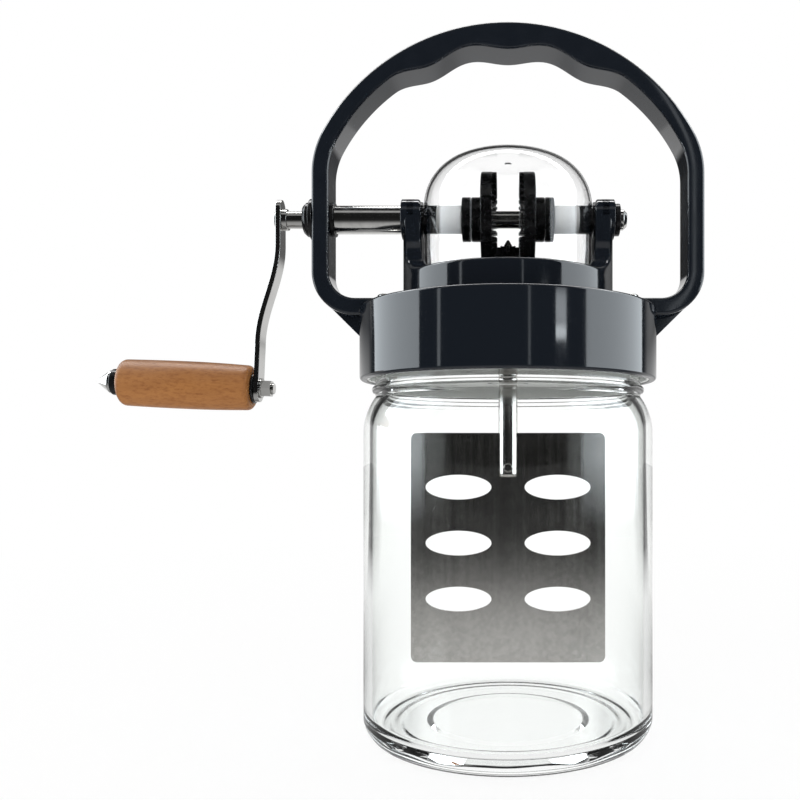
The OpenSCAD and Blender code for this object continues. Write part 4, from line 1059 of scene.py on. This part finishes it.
class CHURN_OT_handle(bpy.types.Operator):
    """Moulds the arched carry handle with finger waves, feet on the lid and ribs under them"""
    bl_idname = "churn.handle"
    bl_label = "Carry handle"

    def execute(self, context):
        size = context.scene.churn.loop
        leg, bar, arch_z = LOOP_HIGH.x, size.bar, LOOP_HIGH.z - size.arch
        corner_x, foot_x, foot_low = leg - size.corner, leg - size.foot_round, LID_HIGH.z - size.foot_drop
        corner_z = arch_z + math.sqrt((size.arch - size.corner) ** 2 - corner_x ** 2)
        foot_z = foot_low + size.foot_round
        meeting = math.degrees(math.atan2(corner_x, corner_z - arch_z))
        valley, wave_end = 24.3, 37.0

        def wave(degrees):
            """Extra depth under the arch: a valley for each pair of fingers, fading out to the sides."""
            if degrees <= valley:
                return size.finger_base + size.finger * (1 + math.cos(TURN * degrees / valley)) / 2
            share = min(1.0, (degrees - valley) / (wave_end - valley))
            return (size.finger + size.finger_base) * (1 + math.cos(math.pi * share)) / 2

        def swing(x, z, radius, degrees, thick):
            """The bar's outer and inner points on a bend about a centre."""
            way = Vector((math.sin(math.radians(degrees)), math.cos(math.radians(degrees))))
            return Vector((x, z)) + way * radius, Vector((x, z)) + way * (radius - thick)

        half = [swing(0.0, arch_z, size.arch, degrees, bar + wave(degrees))
                for degrees in spread(0.0, meeting, 56)]
        half += [swing(corner_x, corner_z, size.corner, degrees, bar)
                 for degrees in spread(meeting, 90.0, 12)[1:]]
        half += [(Vector((leg, z)), Vector((leg - bar, z))) for z in spread(corner_z, foot_z, 4)[1:-1]]
        half += [swing(foot_x, foot_z, size.foot_round, degrees, bar) for degrees in spread(90.0, 180.0, 14)]
        for share in (0.33, 0.66, 1.0):
            x = foot_x + (size.tongue - foot_x) * share
            half.append((Vector((x, foot_low)), Vector((x, foot_low + bar))))
        mirrored = [(Vector((-o.x, o.y)), Vector((-i.x, i.y))) for o, i in reversed(half[1:])]
        rings = []
        for outer, inner in mirrored + half:
            middle, half_bar = (outer + inner) / 2, (outer - inner).length / 2
            way = (outer - inner).normalized()
            rings.append([Vector((middle.x + way.x * u, v, middle.y + way.y * u))
                          for u, v in ring_box(half_bar, LOOP_HIGH.y, size.edge)])
        loop = block("carry_loop", rings)
        lid, overlap, sunk, tilt = LID_HIGH.y, 1 * MM, 4 * MM, math.radians(36.0)
        root, rib_low = foot_low + sunk, foot_low - size.rib_drop
        bends = [(foot_x + radius * math.sin(tilt), foot_z - radius * math.cos(tilt))
                 for radius in (size.foot_round - sunk, size.foot_round)]
        outline = [(lid - overlap, root), (foot_x, root), *bends,
                   (lid + overlap, rib_low), (lid - overlap, rib_low)]
        for side in (1, -1):
            rings = [[Vector((side * x, y, z)) for x, z in outline] for y in (-size.rib / 2, size.rib / 2)]
            carve(loop, block("rib", rings), "UNION")
        carve(loop, peg("lid_seat", lid + 0.15 * MM, LID_HIGH.z - 40 * MM, LID_HIGH.z))
        settle(loop, "carry_handle")
        return {"FINISHED"}


SCREWS = (
    # name, node, up or down, shank, length and width of the rectangle they stand on, its height, seed
    ("handle_pan_screws", "handle_screws", 1, 8.2 * MM, 115.4 * MM, 10 * MM, 201.87 * MM, 3),
    ("drum_pan_screws", "housing_screws", -1, 14 * MM, 63.924 * MM, 63.924 * MM, LID_HIGH.z - 4 * MM, 11),
)


class CHURN_OT_screws(bpy.types.Operator):
    """Drives the pan-head screws through the handle's feet and up into the drum"""
    bl_idname = "churn.screws"
    bl_label = "Screws"

    def execute(self, context):
        tree = screws_on_corners()
        for row in SCREWS:
            self.drive(tree, *row)
        return {"FINISHED"}

    def drive(self, tree, name, node, way, shank, long, wide, height, seed):
        """Makes one pan-head screw with a cross recess and sets four of them."""
        head, tall, thin, crown = 3.4 * MM, 2.2 * MM, 1.8 * MM, 1.0 * MM
        corners = [(0.0, -shank, 0.0), (thin, -shank, 0.5 * MM), (thin, 0.0, 0.0), (head, 0.0, 0.25 * MM),
                   (head, 0.75 * tall, crown), (0.6 * head, tall, crown), (0.0, tall, 0.0)]
        axis = (Vector((0, 0, 0)), Vector((0, 0, way)))
        screw = make(name, lathe(rounded(corners, 4), axis, 40, closed=False))
        arm, slot, low, high = 1.9 * MM, 0.45 * MM, 0.9 * MM, tall + 1 * MM
        for half_u, half_v in ((arm, slot), (slot, arm)):
            rings = [[Vector((u, v, way * z))
                      for u, v in ring_box(half_u * taper, half_v * taper, 0.1 * MM, 2)]
                     for z, taper in ((low, 0.75), (high, 1.1))]
            carve(screw, block("recess", rings))
        grow(screw, tree, {"Length": long, "Width": wide, "Height": height, "Seed": seed,
                           "Material": finish(SLOT_OF[node])})
        settle(screw, node)


SHAFT_FITTINGS = (
    # name, node, rounding in mm
    ("leg_bush", "handle_bush", 0.5),
    ("leg_bush_ring", "handle_bush_ring", 0.3),
    ("steel_sleeve", "shaft_sleeve", 0.35),
    ("ear_bush_left", "left_ear_bush", 0.4),
    ("ear_bush_right", "right_ear_bush", 0.4),
    ("nylon_spacer_left", "left_spacer", 0.5),
    ("nylon_spacer_right", "right_spacer", 0.5),
    ("shaft_end_washer", "end_washer", 0.4),
    ("shaft_end_nut", "end_nut", 0.4),
    ("idler_retaining_ring", "idler_clip", 0.15),
)
GRIP_FITTINGS = (
    ("grip_washer_arm", "grip_arm_washer", 0.15),
    ("grip_washer_inner", "grip_thrust_washer", 0.25),
    ("grip_washer_outer", "grip_end_washer", 0.6),
    ("grip_pointed_nut", "grip_cone_nut", 0.25),
)


class CHURN_OT_shaft(bpy.types.Operator):
    """Turns the crank shaft with its bushes, sleeve, spacers, collars, washer and nut"""
    bl_idname = "churn.shaft"
    bl_label = "Shaft and fittings"

    def execute(self, context):
        size = context.scene.churn.crank
        low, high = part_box("crank_shaft")
        arm, far, fine = ARM_HIGH.x, ARM_HIGH.x - size.thick, 0.3 * MM
        flange_end = arm + size.flange_thick
        corners = [(0.0, low.x, 0.0), (size.head, low.x, 0.7 * MM), (size.head, far, 0.0),
                   (size.tenon, far, 0.0), (size.tenon, arm, 0.0),
                   (size.flange, arm, fine), (size.flange, flange_end, fine),
                   (size.shaft, flange_end, 0.0), (size.shaft, size.seat, fine), (size.end, size.seat, 0.0),
                   (size.end, high.x, fine), (0.0, high.x, 0.0)]
        spun("crank_spindle", "crank_shaft", corners, axis=SHAFT_AXIS, segments=64, closed=False)
        for name, node, rounding in SHAFT_FITTINGS:
            turned_piece(name, node, SHAFT_AXIS, rounding * MM)
        for name, node in (("set_collar_left", "left_set_collar"), ("set_collar_right", "right_set_collar")):
            self.set_collar(name, node, size)
        return {"FINISHED"}

    def set_collar(self, name, node, size):
        """A plain collar with a hole for its set screw."""
        low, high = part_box(node)
        inner, outer, past = 0.2 * MM, 0.25 * MM, 12 * MM
        corners = [(size.bore, low.x, inner), (size.collar, low.x, outer), (size.collar, high.x, outer),
                   (size.bore, high.x, inner)]
        collar = make(name, lathe(rounded(corners, 3), SHAFT_AXIS))
        upright = (Vector(((low.x + high.x) / 2, 0.0, SHAFT_Z)), Vector((0, 0, 1)))
        carve(collar, peg("screw_way", size.screw_hole, size.bore, past, upright, 24))
        settle(collar, node)


class CHURN_OT_gears(bpy.types.Operator):
    """Moulds the two face wheels and the pinion, and sets their teeth"""
    bl_idname = "churn.gears"
    bl_label = "Wheels and pinion"

    def execute(self, context):
        size, crank = context.scene.churn.gears, context.scene.churn.crank
        tree = ring_of_copies()
        fine, edge, soft, bore_edge = 0.3 * MM, 0.5 * MM, 0.6 * MM, 0.2 * MM
        inner, outer = size.wheel - size.band, size.wheel - 0.2 * MM
        steps = ((size.root + 0.3 * MM, size.root_width), (size.tip + 0.15 * MM, size.tip_width * 1.1),
                 (size.tip, 0.7 * size.tip_width))
        for name, node, side, bore in (("face_wheel_driven", "drive_wheel", -1, crank.bore),
                                       ("face_wheel_idle", "idler_wheel", 1, size.idler_bore)):
            corners = [(bore, size.root, 0.0), (size.hub, size.root, edge), (size.hub, size.web, fine),
                       (size.web_edge, size.web, fine), (size.web_edge, size.root, edge),
                       (size.wheel, size.root, fine), (size.wheel, size.rim, 0.8 * MM),
                       (size.hub, size.rim, soft), (size.hub, size.hub_end, soft),
                       (bore, size.hub_end, bore_edge)]
            wheel = make(name, lathe(rounded(corners, 3), shaft_axis(side), 128))
            rings = [[Vector((side * reach, v, (inner + outer) / 2 + u))
                      for u, v in ring_box((outer - inner) / 2, wide / 2, 0.15 * MM, 2)]
                     for reach, wide in steps]
            self.cut(tree, wheel, node, rings,
                     {"Count": size.wheel_teeth, "Axis": (1.0, 0.0, 0.0), "Centre": SHAFT_AXIS[0],
                      "First angle": math.pi / size.wheel_teeth})
        low, high = (corner.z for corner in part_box("pinion"))
        corners = [(size.pinion_bore, low, bore_edge), (size.pinion_root, low, fine),
                   (size.pinion_root, high, fine), (size.pinion_bore, high, bore_edge)]
        pinion = make("dasher_pinion", lathe(rounded(corners, 3), segments=72))
        steps = ((size.pinion_root - 0.4 * MM, 1.5 * MM), (size.pinion_tip - 0.2 * MM, 0.75 * MM),
                 (size.pinion_tip, 0.5 * MM))
        rings = [[Vector((reach, u, (low + high) / 2 + v))
                  for u, v in ring_box(wide / 2, (high - low) / 2, 0.2 * MM, 2)] for reach, wide in steps]
        self.cut(tree, pinion, "pinion", rings, {"Count": size.pinion_teeth, "Axis": (0.0, 0.0, 1.0),
                                                 "Centre": (0.0, 0.0, 0.0), "First angle": 0.0})
        return {"FINISHED"}

    def cut(self, tree, gear, node, rings, inputs):
        """Sets teeth of one shape around a gear."""
        teeth = block("teeth", rings)
        grow(teeth, tree, {**inputs, "Material": finish(SLOT_OF[node])})
        join(gear, teeth)
        settle(gear, node)


class CHURN_OT_arm(bpy.types.Operator):
    """Bends the flat crank arm from the shaft's end down to the grip"""
    bl_idname = "churn.arm"
    bl_label = "Crank arm"

    def execute(self, context):
        size, half = context.scene.churn.crank, ARM_HIGH.y
        top, bottom = ARM_HIGH.z - half, ARM_LOW.z + half
        slope = abs(GRIP_AXIS[1].z / GRIP_AXIS[1].x)
        end_steps, steps = 12, 60

        def shift(z):
            """How far the arm has moved outwards at a height."""
            if z >= size.bend_top:
                return 0.0
            if z >= size.bend_end:
                share = (size.bend_top - z) / (size.bend_top - size.bend_end)
                return size.offset * (1 - math.cos(math.pi * share)) / 2
            return size.offset + (size.bend_end - z) * slope

        def turns(start):
            return [math.radians(90.0 * (step + start) / end_steps) for step in range(end_steps)]

        levels = [(bottom - half * math.cos(a), half * math.sin(a)) for a in turns(0.4)]
        levels += [(z, half) for z in spread(bottom, top, steps)]
        levels += [(top + half * math.sin(a), half * math.cos(a)) for a in turns(0.6)]
        rings = []
        for z, wide in levels:
            middle = ARM_HIGH.x - size.thick / 2 - shift(z)
            rings.append([Vector((middle + u, v, z))
                          for u, v in ring_box(size.thick / 2, wide, min(size.edge, 0.45 * wide), 3)])
        settle(block("crank_bar", rings), "crank_arm")
        return {"FINISHED"}


class CHURN_OT_grip(bpy.types.Operator):
    """Turns the wooden grip and the washers and nuts on its spindle"""
    bl_idname = "churn.grip"
    bl_label = "Wooden grip"

    def execute(self, context):
        turned_piece("beech_grip", "wood_grip", GRIP_AXIS, 0.0, 128)
        for name, node, rounding in GRIP_FITTINGS:
            turned_piece(name, node, GRIP_AXIS, rounding * MM)
        self.hex_nut()
        return {"FINISHED"}

    def hex_nut(self):
        """The nut inside the arm: a turned blank cut to six flats."""
        outline = section_of("grip_inner_nut", GRIP_AXIS)
        corners = [(radius, along, 0.35 * MM) for radius, along in outline]
        nut = make("grip_hex_nut", lathe(rounded(corners, 3), GRIP_AXIS, 72))
        radii, places = zip(*outline)
        wide, spare, turned = 0.985 * max(radii), 2 * MM, axis_frame(GRIP_AXIS)
        hexagon = [(wide * math.cos(TURN * k / 6), wide * math.sin(TURN * k / 6)) for k in range(6)]
        rings = [[turned @ Vector((x, y, along)) for x, y in hexagon]
                 for along in (min(places) - spare, max(places) + spare)]
        carve(nut, block("flats", rings), "INTERSECT")
        settle(nut, "grip_inner_nut")


class CHURN_OT_dasher(bpy.types.Operator):
    """Turns the dasher's rod and cuts the pierced paddle from sheet"""
    bl_idname = "churn.dasher"
    bl_label = "Dasher"

    def execute(self, context):
        size = context.scene.churn.dasher
        low, high, fine = ROD_LOW.z, ROD_HIGH.z, 0.3 * MM
        corners = [(0.0, low, 0.0), (size.rod, low, 1.5 * MM), (size.rod, size.shoulder, 0.5 * MM),
                   (size.journal, size.shoulder, 0.0), (size.journal, size.seat, 0.0),
                   (size.spigot, size.seat, 0.0), (size.spigot, size.tip, fine), (0.5 * MM, high, fine),
                   (0.0, high, 0.0)]
        spun("dasher_bar", "dasher_rod", corners, 6, segments=72, closed=False)
        turned_piece("nylon_thrust_washer", "thrust_washer", JAR_AXIS, 0.2 * MM)
        paddle = make("pierced_paddle", ([(0, 0, 0)], []))
        sizes = (PADDLE_HIGH.x - PADDLE_LOW.x, PADDLE_HIGH.z - PADDLE_LOW.z, size.sheet, size.corner,
                 size.hole_length, size.hole_width, size.hole_spread, size.hole_rise, size.hole_middle,
                 (PADDLE_LOW.z + PADDLE_HIGH.z) / 2)
        inputs = dict(zip(SHEET_SIZES, sizes))
        grow(paddle, pierced_sheet(), {**inputs, "Material": finish(SLOT_OF["paddle"])})
        soften(paddle, 0.2 * MM)
        settle(paddle, "paddle")
        return {"FINISHED"}


class CHURN_OT_small_parts(bpy.types.Operator):
    """Gives the pins, set screws, rivet and spindle, which keep their CAD shapes, their finishes"""
    bl_idname = "churn.small_parts"
    bl_label = "Pins and small parts"

    def execute(self, context):
        for node, obj in frame["nodes"].items():
            if not obj.hide_render:
                obj.data.materials.clear()
                obj.data.materials.append(finish(SLOT_OF[node]))
        return {"FINISHED"}


# Stage

LAMPS = (
    # name, degrees from the camera towards +X, distance, width, lowest, highest, radiance, whether it
    # lights dull surfaces and doesn't show in gloss
    ("left_softbox", -92.5, 0.90, 0.90, 0.02, 1.20, 4.4, False),
    ("right_softbox", 87.0, 0.90, 1.04, 0.02, 1.20, 4.4, False),
    ("window_low", 37.6, 1.10, 0.15, 0.312, 0.336, 13.0, False),
    ("window_high", 37.6, 1.10, 0.15, 0.342, 0.396, 6.0, False),
    ("left_line", -50.0, 1.20, 0.05, 0.20, 1.10, 2.2, False),
    ("right_line", 15.0, 1.40, 0.04, 0.20, 1.10, 1.4, False),
    ("front_fill", -12.0, 1.60, 1.60, 0.50, 2.10, 0.8, True),
)
DAYLIGHT = (0.88, 0.95, 1.0)
SENSOR = 36.0
# Metres: how far up a tall lamp fades in, and how high a lamp is tall
FADE, TALL_LAMP = 0.10, 1.0
# Levels: the floor as light on the pieces and within glass, the backdrop in gloss, the room's darkest
FLOOR_BOUNCE, GLASS_FLOOR, SHEET_WHITE, DARKEST = 1.1, 0.9, 0.95, 0.015


def grey(level):
    return level, level, level, 1.0


def faded(tree, value, *limits):
    """The product of several ramps of one value."""
    return times(tree, *(ramp(tree, value, *each) for each in limits))


def light_path(tree):
    """A light path's outputs, and whether the light has met a dull or a glossy surface on it."""
    path = add(tree, "ShaderNodeLightPath").outputs
    met = (maths(tree, "GREATER_THAN", path[depth], 0.5) for depth in ("Diffuse Depth", "Glossy Depth"))
    return path, *met


def inside_glass(tree, path):
    """1 for light turned back within one wall of glass, 0 for what a piece behind glass reflects."""
    entered = maths(tree, "GREATER_THAN", path["Transmission Depth"], 0.5)
    return times(tree, entered, maths(tree, "LESS_THAN", path["Transmission Depth"], 3.5))


def through_glass(tree, path):
    """The backdrop's level: plain white, and a little over it where it is seen through glass."""
    return ramp(tree, path["Transmission Depth"], 0.0, 4.0, 1.0, 1.10)


def glass_room(tree, way):
    """What a wall of glass turns back: white behind and beside, dark between them and in front."""
    parts = parts_of(tree, way)
    start = ramp(tree, parts["Z"], 0.05, 0.20, 0.78, 0.85)
    back = ramp(tree, maths(tree, "SUBTRACT", parts["Y"], start), 0.0, 0.03)
    side = faded(tree, parts["Y"], (0.50, 0.42), (-0.45, -0.30))
    return most(tree, back, times(tree, side, ramp(tree, parts["Z"], 0.30, 0.45, 1.0, 0.15)))


class CHURN_OT_stage(bpy.types.Operator):
    """Sets the white floor, the studio light and the camera"""
    bl_idname = "churn.stage"
    bl_label = "Stage"

    def execute(self, context):
        stage = context.scene.churn.stage
        half, low = stage.half_floor, -0.3 * MM
        square = ((-half, -half), (half, -half), (half, half), (-half, half))
        floor = make("floor", ([Vector((x, y, low)) for x, y in square], [(0, 1, 2, 3)]))
        floor.data.materials.append(self.floor_paper())
        self.studio(context, stage)
        for lamp in LAMPS:
            self.lamp(context, *lamp)
        self.overhead(context)
        camera = bpy.data.cameras.new("Camera")
        camera.lens, camera.sensor_width = stage.lens, SENSOR
        camera.shift_x, camera.shift_y = stage.shift
        camera.clip_start = 10 * MM
        viewer = bpy.data.objects.new("Camera", camera)
        viewer.location = (0.0, -stage.distance, stage.height)
        viewer.rotation_euler = (math.pi / 2, 0.0, 0.0)
        context.scene.collection.objects.link(viewer)
        context.scene.camera = viewer
        context.scene.view_settings.view_transform = "Standard"
        return {"FINISHED"}

    def floor_paper(self):
        """White paper: bright to the camera with the object's shadow, fading into the room in gloss."""
        material = bpy.data.materials.new("floor_paper")
        material.use_nodes = True
        material.cycles.emission_sampling = "NONE"
        tree = material.node_tree
        tree.nodes.clear()
        path, bounced, gloss = light_path(tree)
        place = add(tree, "ShaderNodeTexCoord").outputs["Object"]
        away = add(tree, "ShaderNodeVectorMath", {0: place}, operation="LENGTH").outputs["Value"]
        depth = parts_of(tree, place)["Y"]
        front = faded(tree, away, (0.15, 0.30, 0.60, 0.45), (0.30, 0.45, 1.0, 0.36), (0.45, 0.75, 1.0, 0.12))
        behind = faded(tree, depth, (0.08, 0.35, 0.25, 0.95), (0.6, 1.2, 1.0, 0.6))
        shown = mixed(tree, ramp(tree, depth, 0.0, 0.08), front, behind)
        toward = out(tree, "ShaderNodeVectorMath", {0: place}, operation="NORMALIZE")
        rim = most(tree, glass_room(tree, toward), ramp(tree, depth, 0.0, -0.2, 0.0, 0.5))
        rim = mixed(tree, ramp(tree, away, 0.40, 0.80), grey(GLASS_FLOOR), rim)
        shown = mixed(tree, inside_glass(tree, path), shown, rim)
        far = ramp(tree, away, 0.25, 0.90)
        paper_white = times(tree, maths(tree, "MULTIPLY_ADD", far, 0.14, 0.86), through_glass(tree, path))
        seen = mixed(tree, bounced, mixed(tree, gloss, paper_white, shown), grey(FLOOR_BOUNCE))
        grain = ramp(tree, noise(tree, place, scale=900.0, detail=3.0), 0.3, 0.7, 0.15, 0.17)
        paper = times(tree, grain, maths(tree, "SUBTRACT", 1.0, far))
        for met in (bounced, gloss):
            paper = mixed(tree, met, paper, grey(0.0))
        glow = out(tree, "ShaderNodeEmission", {"Color": seen, "Strength": 1.0})
        dull = out(tree, "ShaderNodeBsdfDiffuse", {"Color": paper})
        both = out(tree, "ShaderNodeAddShader", {0: glow, 1: dull})
        add(tree, "ShaderNodeOutputMaterial", {"Surface": both})
        return material

    def studio(self, context, stage):
        """White to the camera and through glass, even light on dull surfaces, a dark front in gloss."""
        world = bpy.data.worlds.new("Studio")
        context.scene.world = world
        world.use_nodes = True
        world.cycles.sampling_method = "NONE"
        tree = world.node_tree
        tree.nodes.clear()
        path, bounced, gloss = light_path(tree)
        way = add(tree, "ShaderNodeTexCoord").outputs["Generated"]
        parts = parts_of(tree, way)
        sheet = ramp(tree, maths(tree, "ABSOLUTE", parts["X"]), 0.13, 0.165, SHEET_WHITE, 0.0)
        sheet = most(tree, sheet, ramp(tree, parts["X"], 0.05, 0.20, 0.04, 0.16))
        beside = ramp(tree, parts["X"], -0.2, 0.2, 0.2, 0.45)
        high = mixed(tree, ramp(tree, parts["Y"], 0.72, 0.88), beside, sheet)
        low = ramp(tree, parts["Z"], 0.08, 0.16, SHEET_WHITE, 0.0)
        behind = times(tree, ramp(tree, parts["Y"], 0.55, 0.65), most(tree, low, high))
        above = times(tree, faded(tree, parts["Z"], (0.70, 0.76), (0.92, 0.88)),
                      ramp(tree, parts["Y"], 0.0, -0.2, 0.0, 0.5))
        room = most(tree, most(tree, behind, above), DARKEST)
        room = mixed(tree, inside_glass(tree, path), room, glass_room(tree, way))
        level = mixed(tree, gloss, through_glass(tree, path), room)
        level = mixed(tree, bounced, level, grey(stage.ambient))
        back = out(tree, "ShaderNodeBackground", {"Color": level, "Strength": 1.0})
        add(tree, "ShaderNodeOutputWorld", {"Surface": back})

    def lamp(self, context, name, degrees, distance, width, low, high, radiance, dull):
        """A standing lamp that shows in gloss, or a fill that only lights dull surfaces."""
        a = math.radians(degrees)
        place = Vector((distance * math.sin(a), -distance * math.cos(a), (low + high) / 2))
        lamp = self.area(context, name, place, width, high - low, radiance)
        aim = Vector((0.0, 0.0, place.z)) - place
        lamp.rotation_euler = aim.to_track_quat("-Z", "Y").to_euler()
        lamp.visible_diffuse = dull
        lamp.visible_glossy = lamp.visible_transmission = not dull
        if not dull:
            lamp.data.color = DAYLIGHT
            self.fade(lamp.data, FADE / (high - low) if high - low > TALL_LAMP else 0.0)

    def fade(self, light, share):
        """Lets a lamp's light fade out over the lowest share of its height."""
        light.use_nodes = True
        tree = light.node_tree
        tree.nodes.clear()
        spot = add(tree, "ShaderNodeNewGeometry").outputs["Parametric"]
        level = ramp(tree, parts_of(tree, spot)["Y"], -0.001, share)
        glow = out(tree, "ShaderNodeEmission", {"Strength": level})
        add(tree, "ShaderNodeOutputLight", {"Surface": glow})

    def overhead(self, context):
        """A strip over the object, which draws the bright lines on upper edges."""
        place = Vector((0.0, 0.30, 1.3))
        lamp = self.area(context, "overhead_strip", place, width=2.6, tall=0.40, radiance=9.0)
        lamp.visible_diffuse = lamp.visible_transmission = False

    def area(self, context, name, place, width, tall, radiance):
        data = bpy.data.lights.new(name, "AREA")
        data.shape, data.size, data.size_y = "RECTANGLE", width, tall
        data.energy = radiance * math.pi * width * tall
        lamp = bpy.data.objects.new(name, data)
        lamp.location = place
        lamp.visible_camera = False
        context.scene.collection.objects.link(lamp)
        return lamp


OPERATORS = (CHURN_OT_jar, CHURN_OT_seals, CHURN_OT_lid, CHURN_OT_housing, CHURN_OT_dome, CHURN_OT_handle,
             CHURN_OT_screws, CHURN_OT_shaft, CHURN_OT_gears, CHURN_OT_arm, CHURN_OT_grip, CHURN_OT_dasher,
             CHURN_OT_small_parts, CHURN_OT_stage)


class CHURN_PT_sidebar(bpy.types.Panel):
    bl_label = "Butter churn"
    bl_idname = "CHURN_PT_sidebar"
    bl_space_type = "VIEW_3D"
    bl_region_type = "UI"
    bl_category = "Churn"

    def draw(self, context):
        for operator in OPERATORS:
            self.layout.operator(operator.bl_idname)
        settings = context.scene.churn
        for group in settings.bl_rna.properties:
            if group.type == "POINTER" and group.identifier != "rna_type":
                column = self.layout.column(heading=group.name)
                sizes = getattr(settings, group.identifier)
                for size in type(sizes).__annotations__:
                    column.prop(sizes, size)


GROUPS = (JarSizes, LidSizes, HousingSizes, LoopSizes, GearSizes, CrankSizes, DasherSizes, Colours,
          StageSettings, ChurnSettings)
CLASSES = (*GROUPS, *OPERATORS, CHURN_PT_sidebar)


def register():
    for each in CLASSES:
        bpy.utils.register_class(each)
    bpy.types.Scene.churn = PointerProperty(type=ChurnSettings)


def unregister():
    del bpy.types.Scene.churn
    for each in reversed(CLASSES):
        bpy.utils.unregister_class(each)


def main():
    register()
    for operator in OPERATORS:
        family, name = operator.bl_idname.split(".")
        getattr(getattr(bpy.ops, family), name)()


if __name__ == "__main__":
    main()
